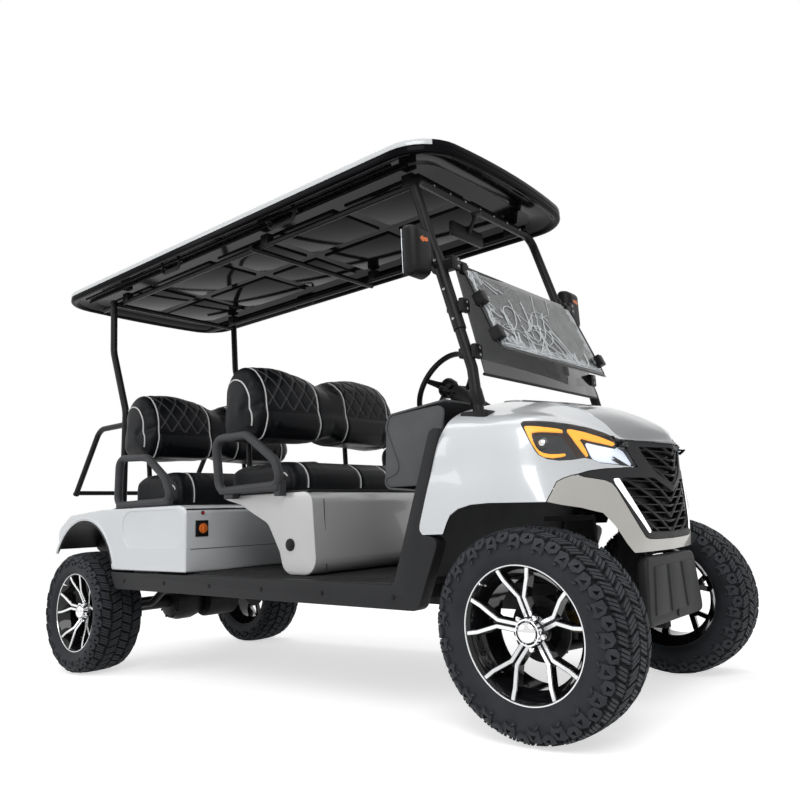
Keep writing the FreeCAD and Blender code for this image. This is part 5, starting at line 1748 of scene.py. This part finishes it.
# %% [markdown]
# ## Body, seat base and floor
#
# The rear body is a hollow box with a sloping tail and two wheel arches, cut from a solid in the way a
# mould would shape it. The front seat base is drawn from the side. Sills, floor and rack follow.

# %% The rear body
REAR_FRONT_X = -371
REAR_AXLE_X = -1268.5
ARCH_Z = 350
ARCH_RADIUS = 300
BODY_HALF = 612
WELL_Y = 395
SHELL_HALF = WELL_Y - 1
DECK_FOOT = 690
TAIL_X = -1530


def rear_block(name, inset, low):
    """The closed tail form, drawn smaller by an inset."""
    top = 704 - inset
    front = REAR_FRONT_X - inset
    line = rounded_flat([
        (front - 20, low), (front, low), (front, 690 - inset), (front - 56, top), (-1100, top),
        (-1420, top - 20), (-1545 + inset, 610), (-1530 + inset, 505), (-1300, low), (-1200, low),
    ], 46)
    block = plate(name, line, -BODY_HALF + inset, BODY_HALF - inset)
    return eased(block, 26 - inset, 5, angle_limit=SHARP)


def arch_tool(sign, near, radius):
    """The wheel's room: a drum and the space below it."""
    y_low, y_high = sorted((sign * near, sign * 760))
    steps = [math.radians(180 - i * 6) for i in range(31)]
    room = [(REAR_AXLE_X + radius * math.cos(t), ARCH_Z + radius * math.sin(t)) for t in steps]
    room += [(REAR_AXLE_X + radius, 100), (REAR_AXLE_X - radius, 100)]
    return plate("arch_tool", room, y_low, y_high)


SCOOP = [(-700, 688), (-905, 688), (-872, 516), (-396, 512), (-396, 688), (-650, 688)]
rear = rear_block("rear_body", 0, 414)
WALL = 6
core = rear_block("rear_core", WALL, 404)
for sign in (-1, 1):
    boolean(core, arch_tool(sign, WELL_Y - WALL, ARCH_RADIUS + WALL), "DIFFERENCE")
    boolean(rear, arch_tool(sign, WELL_Y, ARCH_RADIUS), "DIFFERENCE")
boolean(rear, core, "DIFFERENCE")
for sign in (-1, 1):
    low, high = sorted((sign * 608, sign * 640))
    scoop = plate("scoop", rounded_flat(SCOOP, 70, 8), low, high)
    boolean(rear, eased(scoop, 3.5, 3, angle_limit=SHARP), "DIFFERENCE")
settle(rear, pearl_paint, angle=32)
rear.data.materials.append(black_plastic)
for face in rear.data.polygons:
    place = RIDE.inverted() @ face.center
    reach = math.hypot(place.x - REAR_AXLE_X, place.z - ARCH_Z)
    in_shell = abs(place.y) < SHELL_HALF and place.z < DECK_FOOT and TAIL_X < place.x < REAR_FRONT_X - 4
    if abs(place.y) < BODY_HALF - 6 and (reach < ARCH_RADIUS + 8 or in_shell):
        face.material_index = 1
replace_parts(rear, "rear_body")

# %% Trim, sockets, lamps and joints of the rear body
SEAM = 1.4


def arch_line(y, radius, first, step, count):
    """Places round a wheel arch, from an angle onwards."""
    turns = [math.radians(first + i * step) for i in range(count)]
    return [Vector((REAR_AXLE_X + radius * math.cos(t), y, ARCH_Z + radius * math.sin(t))) for t in turns]


trims = []
seams = []
arch_lips = []
for sign in (-1, 1):
    edge = arch_line(sign * 610.5, ARCH_RADIUS + 1, 12, 6, 24)
    trims.append(curve("arch_trim", [p for p in edge if p.z > 418], 5, sides=2))
    arch_lips.append(curve("arch_lip", arch_line(sign * 607, ARCH_RADIUS + 17, 14, 5, 29), 9, sides=4))
    seams.append(bar("deck_seam", [(-470, sign * 560, 705), (-1080, sign * 560, 705)], SEAM, 1, sides=1))
seams.append(bar("hatch_seam", [(-1110, -300, 705), (-1110, 300, 705)], SEAM, 1, sides=1))
settle(joined("arch_trims", trims), charcoal_plastic)
settle(joined("arch_lips", arch_lips), pearl_paint)
seam_x = REAR_FRONT_X + 0.5
seams.append(bar("front_seam", [(seam_x, -585, 512), (seam_x, 585, 512)], SEAM, 1, sides=1))
settle(joined("rear_seams", seams), black_plastic)
socket = [box("socket_plate", (REAR_FRONT_X - 3, -559, 564), (REAR_FRONT_X + 4, -490, 635), 3),
          disc("socket_ring", (REAR_FRONT_X + 5, -524, 600), (1, 0, 0), 27, 8),
          disc("button_ring", (REAR_FRONT_X + 1, -520, 668), (1, 0, 0), 9, 6)]
settle(joined("socket_plate", socket), black_plastic)
settle(joined("socket_cap", [
    disc("socket_cap", (REAR_FRONT_X + 10, -524, 600), (1, 0, 0), 22, 9, 3),
    box("cap_grip", (REAR_FRONT_X + 13, -528, 584), (REAR_FRONT_X + 19, -520, 616), 2),
]), orange_plastic)
settle(disc("button", (REAR_FRONT_X + 5, -520, 668), (1, 0, 0), 6, 6), red_plastic)
lenses = []
holders = []
for sign in (-1, 1):
    near = sorted((sign * 470, sign * 560))
    lenses.append(box("tail_lens", (-1548, near[0] + 4, 563), (-1539, near[1] - 4, 597), 6, 4))
    holders.append(box("tail_holder", (-1544, near[0], 558), (-1530, near[1], 602), 6, 3))
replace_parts(settle(joined("tail_lenses", lenses), red_plastic), "tail_lamps")
settle(joined("tail_holders", holders), black_plastic)

# %% The front seat base
TUCK = 34
base_line = rounded_flat([
    (0, 733), (-184, 733), (-184, 717), (-80, 692), (-10, 657), (90, 612), (158, 502), (182, 416),
    (363, 416), (347, 700), (322, 733), (10, 733),
], 60)
base = plate("seat_base", base_line, -539, 539)
eased(base, 14, 4, angle_limit=SHARP)
for vertex in base.data.vertices:
    place = vertex.co
    tuck = TUCK * smoothstep(700, 640, place.z) * smoothstep(300, 345, place.x)
    place.x -= tuck * smoothstep(-470, -440, place.y) * smoothstep(-150, -180, place.y)
# The base's finish is darker than the body's, in part as painted shade.
settle(base, silver_paint_with_painted_shade, angle=40)
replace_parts(base, "front_seat_base")
caps = [disc("base_cap", (222, sign * 540, 529), (0, 1, 0), 24, 8, 2.5) for sign in (-1, 1)]
caps += [disc("base_cap_ring", (222, sign * 541, 529), (0, 1, 0), 15, 10, 2) for sign in (-1, 1)]
settle(joined("base_caps", caps), black_plastic)
lips = [box("base_lip", (-190, sign * 528 - 13, 729), (330, sign * 528 + 13, 737), 3) for sign in (-1, 1)]
lips.append(box("base_lip", (-190, -528, 730), (-168, 528, 737), 3))
lips.append(box("base_lip", (300, -528, 730), (326, 528, 737), 3))
panel_lines = [bar("base_line", [(356, y, 424), (351, y, 640), (349, y, 700)], 1.6, 10, sides=1)
               for y in (-476, 476)]
settle(joined("base_lips", lips + panel_lines), charcoal_plastic)

# %% Sills and kick-ups
sill_line = rounded_flat([
    (-970, 404), (-985, 404), (-940, 327), (872, 327), (892, 336), (988, 555), (902, 563), (1014, 900),
    (972, 900), (792, 404), (-960, 404),
], 26, 4)
sills = []
studs = []
for sign in (-1, 1):
    low, high = sorted((sign * 561, sign * 614))
    sills.append(eased(plate("sill", sill_line, low, high), 7, 3, angle_limit=SHARP))
    sills.append(box("tread_strip", (-360, low + 8, 401), (770, high - 8, 407), 2))
    for x in range(-860, 800, 330):
        studs.append(disc("sill_stud", (x, sign * 614, 366), (0, 1, 0), 9, 5, 1.5, 16))
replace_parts(settle(joined("sills", sills), charcoal_plastic), "sill_trims")
settle(joined("sill_studs", studs), black_plastic)

# %% Floor with a ribbed mat
floor_pieces = [box("floor_board", (-371, -560, 388), (790, 560, 411), 1.5)]
for i in range(46):
    y = -540 + i * 24
    floor_pieces.append(box("mat_rib", (-365, y - 5, 409), (784, y + 5, 414.5), 0))
floor_mat = settle(joined("floor_mat", floor_pieces), mat_rubber)
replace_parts(floor_mat, "floor_pan")

# %% Bag rack
rack_y = POLE_Y - 35.3
rack = []
for sign in (-1, 1):
    y = sign * rack_y
    rack.append(bar("rack_arm", [(-1150, y, 1168), (-1520, y, 1168), (-1770, y, 812)], 16, 90, sides=5))
    rack.append(disc("rack_clamp", (-1160, sign * (rack_y + 10), 1168), (0, 1, 0), 24, 26, 3))
    rack.append(disc("rack_tip", (-1770, y, 812), (0.57, 0, 0.82), 18, 14, 4))
rack.append(bar("rack_bar", [(-1766, -rack_y, 818), (-1766, rack_y, 818)], 13, 1, sides=5))
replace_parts(settle(joined("bag_rack", rack), frame_paint), "bag_rack")

# %% Tow cover
FACET_FOOT = 300
FACET_TOP = 446
cover_line = rounded_flat([(0, 475), (-213, 475), (-248, 270), (248, 270), (213, 475), (2, 475)], 26, 4)
cover = eased(plate("tow_cover", cover_line, 1441, 1478, axis="X"), 10, 3, angle_limit=SHARP)
facets = [box("cover_facet", (1470, low, FACET_FOOT), (1482, high, FACET_TOP), 5)
          for low, high in ((-198, -86), (-60, 60), (86, 198))]
for facet in facets:
    for vertex in facet.data.vertices:
        vertex.co.y *= 1 - 0.16 * (vertex.co.z - FACET_FOOT) / (FACET_TOP - FACET_FOOT)
tow_eye = disc("tow_eye", (1480, 0, 290), (1, 0, 0), 12, 4, 1)
cover = settle(joined("tow_cover", [cover, *facets, tow_eye]), charcoal_plastic)
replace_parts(cover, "tow_cover")
print("body done")

# %% [markdown]
# ## Cockpit and running gear
#
# The dash is a moulded shell with a shelf, a screen, switches and cup holders. The running gear is drawn anew
# with springs, bolts and brake parts, and its solids from the frame are hidden; the chassis and the battery
# keep theirs.

# %% The dash
DASH_HALF = 560
DASH_FACE = [(792, 414), (900, 700), (735, 718), (728, 760), (800, 772), (742, 925), (760, 975), (1004, 999)]


def ribbon(line, thick):
    """A bent line made into a closed outline of one thickness."""
    spots = [Vector((x, z)) for x, z in line]
    runs = [(b - a).normalized() for a, b in zip(spots, spots[1:])]
    inner = []
    for i, place in enumerate(spots):
        before = runs[max(i - 1, 0)]
        after = runs[min(i, len(runs) - 1)]
        side = (Vector((before.y, -before.x)) + Vector((after.y, -after.x))).normalized()
        inner.append(place + side * thick)
    return [(p.x, p.y) for p in spots] + [(p.x, p.y) for p in reversed(inner)]


dash_parts = [plate("dash", ribbon(rounded_flat(DASH_FACE, 30, 5), 6), -DASH_HALF, DASH_HALF)]
CHEEK = [(762, 972), (996, 984), (984, 900), (925, 722), (738, 722), (731, 758), (744, 925)]
for sign in (-1, 1):
    low, high = sorted((sign * 544, sign * 557))
    cheek = plate("cheek", rounded_flat(CHEEK, 24, 4), low, high)
    dash_parts.append(eased(cheek, 4, 3, angle_limit=SHARP))
dash = settle(joined("dash", dash_parts), dash_grey, angle=40)
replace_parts(dash, "dashboard")
dash_bits = [
    box("shelf_lip", (726, -556, 742), (742, 556, 764), 6, 4),
    box("screen_hood", (738, -40, 850), (790, 190, 935), 12, 4),
    box("glove_lid", (744, -500, 800), (772, -180, 900), 12, 4),
    box("switch_panel", (744, 400, 820), (772, 530, 890), 8, 4),
]
for y in (-120, 235):
    cup_ring = turned("cup_ring", [(0, 36), (0, 42), (6, 44), (6, 34), (2, 33)], 32)
    dash_bits.append(placed(cup_ring, (764, y, 762), math.radians(90)))
settle(joined("dash_details", dash_bits), charcoal_plastic)
settle(box("dash_screen", (734.5, -22, 862), (741, 172, 924), 4), gloss_black)
knobs = [disc("switch", (741, y, 856), (1, 0, 0), 10, 10, 2) for y in (425, 465, 505)]
knobs.append(box("lid_latch", (738, -360, 872), (748, -320, 884), 3))
settle(joined("dash_switches", knobs), gloss_black)

# %% Steering wheel, column and levers
TILT = math.radians(35)
GRIP_RADIUS = 172
wheel_centre = Vector((420, 300, 1215))
wheel_axis = Vector((math.cos(TILT), 0, -math.sin(TILT)))
wheel_up = Vector((math.sin(TILT), 0, math.cos(TILT)))
wheel_frame = Matrix((Vector((0, 1, 0)), wheel_axis, wheel_up)).transposed().to_4x4()
at_steering = Matrix.Translation(wheel_centre) @ wheel_frame
turns = [math.tau * i / 72 for i in range(72)]
rim_path = [(GRIP_RADIUS * math.cos(turn), 0, GRIP_RADIUS * math.sin(turn)) for turn in turns]
grip = curve("steering_grip", rim_path, 13, closed=True, sides=5)
for vertex in grip.data.vertices:
    turn = math.atan2(vertex.co.z, vertex.co.x)
    ripple = 0.9 * max(0.0, math.cos(turn * 40)) if abs(math.sin(turn)) < 0.75 else 0
    vertex.co.y *= 1 - 0.03 * ripple
steering = [grip]
for angle in (4, 176, 270):
    spoke = plate("spoke", [(30, -22), (90, -15), (164, -11), (164, 11), (90, 15), (30, 22)], -4, 4)
    eased(spoke, 3)
    for vertex in spoke.data.vertices:
        vertex.co.y += 14 * (1 - max(0, vertex.co.x - 30) / 134)
    spoke.data.transform(Matrix.Rotation(-math.radians(angle), 4, "Y"))
    steering.append(spoke)
hub_line = [(-12, 0), (-12, 34), (-7, 44), (2, 48), (30, 48), (44, 40), (44, 0)]
steering.append(turned("steering_hub", hub_line, 48, closed=False))
wheel_piece = joined("steering_wheel", steering)
wheel_piece.data.transform(at_steering)
settle(wheel_piece, black_plastic, body="steering_wheel")
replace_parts(wheel_piece, "steering_wheel")
badge = turned("hub_cover", [(-13.5, 0), (-13.5, 20), (-12, 24), (-10, 24), (-10, 0)], 40, closed=False)
badge.data.transform(at_steering)
settle(badge, gloss_black, body="steering_wheel")
column_start = wheel_centre + wheel_axis * 46
column = [bar("column", [column_start, wheel_centre + wheel_axis * 395], 25, 1, sides=6),
          bar("shroud", [column_start + wheel_axis * 20, wheel_centre + wheel_axis * 250], 41, 1, sides=8)]
for sign, reach in ((-1, 120), (1, 105)):
    start = column_start + wheel_axis * 45
    column.append(bar("lever", [start, start + Vector((-12, sign * reach, 26))], 5.5, 1))
    column.append(disc("lever_tip", start + Vector((-12, sign * reach, 26)), (-0.1, sign, 0.2), 8, 34, 3))
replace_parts(settle(joined("steering_column", column), charcoal_plastic), "steering_column")

# %% Pedals
PEDAL = [(702, 440), (712, 436), (760, 560), (846, 588), (850, 598), (750, 572)]
pedals = []
grips = []
for y, width in ((210, 70), (330, 60)):
    low, high = y - width / 2, y + width / 2
    pedals.append(eased(plate("pedal", PEDAL, low, high), 2.5))
    for k in range(6):
        at = Vector((703, y, 441)).lerp(Vector((748, y, 570)), 0.12 + k * 0.15)
        grips.append(box("pedal_rib", (at.x - 4, low + 6, at.z - 4), (at.x + 3, high - 6, at.z + 4), 1.5))
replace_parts(settle(joined("pedals", pedals), dark_steel), "pedals")
settle(joined("pedal_ribs", grips), mat_rubber)
print("cockpit done")

# %% [markdown]
# ### Suspension
#
# A damper is a rod in a tube, with a spring between two seats round it. At the front two wishbones and a
# kingpin carry each wheel and stay level, and at the back trailing arms carry the axle.

# %% Springs over the dampers


def spring(name, low, high, radius, wire, turns):
    """A coil between two points."""
    start, end = Vector(low), Vector(high)
    run = end - start
    lean = run.to_track_quat("Z", "Y").to_matrix()
    path = []
    count = int(turns * 20)
    for i in range(count + 1):
        turn = math.tau * turns * i / count
        here = Vector((radius * math.cos(turn), radius * math.sin(turn), run.length * (i / count)))
        path.append(start + lean @ here)
    return curve(name, path, wire, sides=2)


def shock(name, low, high, coil_low, coil_high, radius):
    """Damper body, rod and seats with a spring round them."""
    start, end = Vector(low), Vector(high)
    run = (end - start).normalized()
    body = bar(name, [start, start.lerp(end, 0.55)], radius * 0.5, 1, sides=5)
    rod_part = bar(name, [start.lerp(end, 0.5), end], radius * 0.26, 1, sides=4)
    seats = [disc(name, Vector(p) + run * off, run, radius + 3, 6, 1.5)
             for p, off in ((coil_low, -2), (coil_high, 2))]
    return [body, rod_part, *seats], spring(name, coil_low, coil_high, radius - 4, 5, 7)


# %% Front suspension, drawn level
KINGPIN_Y = 440
black_bits = []
coils = []
front_arms = []
x = AXLE_X
for sign in (-1, 1):
    parts, coil = shock("front_shock", (x, sign * 345, AXLE_Z - 54), (x, sign * 300, AXLE_Z + 297),
                        (x, sign * 338, AXLE_Z + 60), (x, sign * 305, AXLE_Z + 250), 36)
    black_bits += parts
    coils.append(coil)
    for rise in (-66, 66):
        z = AXLE_Z + rise
        for reach in (-1, 1):
            line = [(x + reach * 58, sign * 241, z), (x + reach * 12, sign * 424, z)]
            front_arms.append(bar("wishbone", line, 10, 1, sides=5))
            front_arms.append(disc("arm_bush", (x + reach * 60, sign * 246, z), (1, 0, 0), 17, 34, 3))
        front_arms.append(bar("wishbone_tie", [(x - 40, sign * 320, z), (x + 40, sign * 320, z)], 8, 1))
        eye = turned("arm_eye", [(-12, 17), (-12, 27), (12, 27), (12, 17)], 32)
        front_arms.append(placed(eye, (x, sign * KINGPIN_Y, z), math.pi / 2))
suspension = joined("front_suspension", front_arms + black_bits)
settle(suspension, dark_steel, where=LEVEL)
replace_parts(suspension, "front_suspension")
settle(joined("front_springs", coils), dark_steel, where=LEVEL)

# %% Knuckles, calipers and tie rod
for side, sign in (("right", -1), ("left", 1)):
    y = sign * KINGPIN_Y
    low, high = sorted((sign * 424, sign * 461))
    knuckle = [
        bar("kingpin", [(x, y, AXLE_Z - 84), (x, y, AXLE_Z + 84)], 15.6, 1, sides=6),
        box("upright", (x - 27, low, AXLE_Z - 47), (x + 27, high, AXLE_Z + 47), 7, 3),
        box("steer_arm", (x - 122, y - 11, AXLE_Z - 47), (x, y + 11, AXLE_Z - 35), 4),
        bar("spindle", [(x, y, AXLE_Z), (x, sign * 560, AXLE_Z)], 19.6, 1, sides=6),
        disc("castle_nut", (x, y, AXLE_Z + 78), (0, 0, 1), 18, 12, 2, 6),
    ]
    body = "knuckle_" + side
    knuckle_piece = settle(joined(body, knuckle), dark_steel, body=body, where=LEVEL)
    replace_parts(knuckle_piece, body)
    low, high = sorted((sign * 420, sign * 446))
    caliper = [box("caliper", (x + 30, low, AXLE_Z - 18), (x + 104, high, AXLE_Z + 39), 8, 3)]
    caliper += [disc("caliper_cap", (x + 82, sign * 420, AXLE_Z + dz), (0, 1, 0), 12, 8) for dz in (0, 26)]
    settle(joined("caliper_" + side, caliper), caliper_gold, body=body, where=LEVEL)
rod_x = x - 110
rod_z = AXLE_Z - 60.3
rod_pieces = [bar("tie_rod", [(rod_x, -KINGPIN_Y, rod_z), (rod_x, KINGPIN_Y, rod_z)], 8.6, 1, sides=5)]
for sign in (-1, 1):
    rod_pieces.append(disc("rod_end", (rod_x, sign * KINGPIN_Y, rod_z), (0, 0, 1), 13.6, 23, 3))
    rod_pieces.append(bar("rod_sleeve", [(rod_x, sign * 300, rod_z), (rod_x, sign * 400, rod_z)], 11.5, 1))
rod_piece = settle(joined("tie_rod", rod_pieces), bare_steel, body="tie_rod", where=LEVEL)
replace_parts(rod_piece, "tie_rod")

# %% Rear axle and suspension
REAR_AXLE_Z = 203.3
x, z = REAR_AXLE_X, REAR_AXLE_Z
bowl = [(-95, 0), (-95, 60), (-80, 92), (-40, 104), (40, 104), (80, 92), (95, 60), (95, 0)]
can = [(96, 0), (96, 86), (104, 91), (290, 91), (299, 84), (299, 40), (299, 0)]
rear_bits = [
    bar("axle_tube", [(x, -520, z), (x, 520, z)], 35.5, 1, sides=8),
    placed(turned("differential", bowl, 48, closed=False), (x, 0, z)),
    placed(turned("motor", can, 48, closed=False), (x + 60, 0, z - 8)),
]
for i in range(9):
    fin = turned("motor_fin", [(0, 89), (0, 92), (4, 92), (4, 89)], 40)
    rear_bits.append(placed(fin, (x + 60, 120 + i * 18, z - 8)))
for i in range(10):
    turn = math.tau * i / 10
    place = (x + 88 * math.cos(turn), -82, z + 88 * math.sin(turn))
    rear_bits.append(disc("cover_bolt", place, (0, 1, 0), 6, 12))
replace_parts(settle(joined("rear_axle", rear_bits), dark_steel), "rear_axle")
shock_x = x - 70
rear_arms = []
coils = []
for sign in (-1, 1):
    y = sign * 335
    line = [(x + 36, y, z + 2), (x + 220, y, z + 25), (-906, y, 322)]
    rear_arms.append(bar("trailing_arm", line, 18, 120, sides=5))
    rear_arms.append(box("damper_foot", (shock_x - 19, y - 21, z - 13), (shock_x + 48, y + 21, z + 23), 5))
    clamp = turned("axle_clamp", [(-24, 36.2), (-24, 44), (24, 44), (24, 36.2)], 32)
    rear_arms.append(placed(clamp, (x, y, z)))
    parts, coil = shock("rear_shock", (shock_x, y, z + 20), (shock_x, y, 599), (shock_x, y, z + 110),
                        (shock_x, y, 520), 38)
    rear_arms += parts
    coils.append(coil)
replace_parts(settle(joined("rear_suspension", rear_arms), dark_steel), "rear_suspension")
settle(joined("rear_springs", coils), dark_steel)

# %% Finishes on the solids that are shown as they are
for name, material in (("chassis_frame", dark_steel), ("battery_block", black_plastic)):
    solid = nodes[name]
    solid.data.materials.clear()
    solid.data.materials.append(material)
brackets = [box("chassis_plate", (at - 40, low, 306), (at + 40, low + 23, 384), 3)
            for low in (-262, 239) for at in (-985, -380, 360, 780)]
settle(joined("chassis_plates", brackets), dark_steel)
print("running gear done")
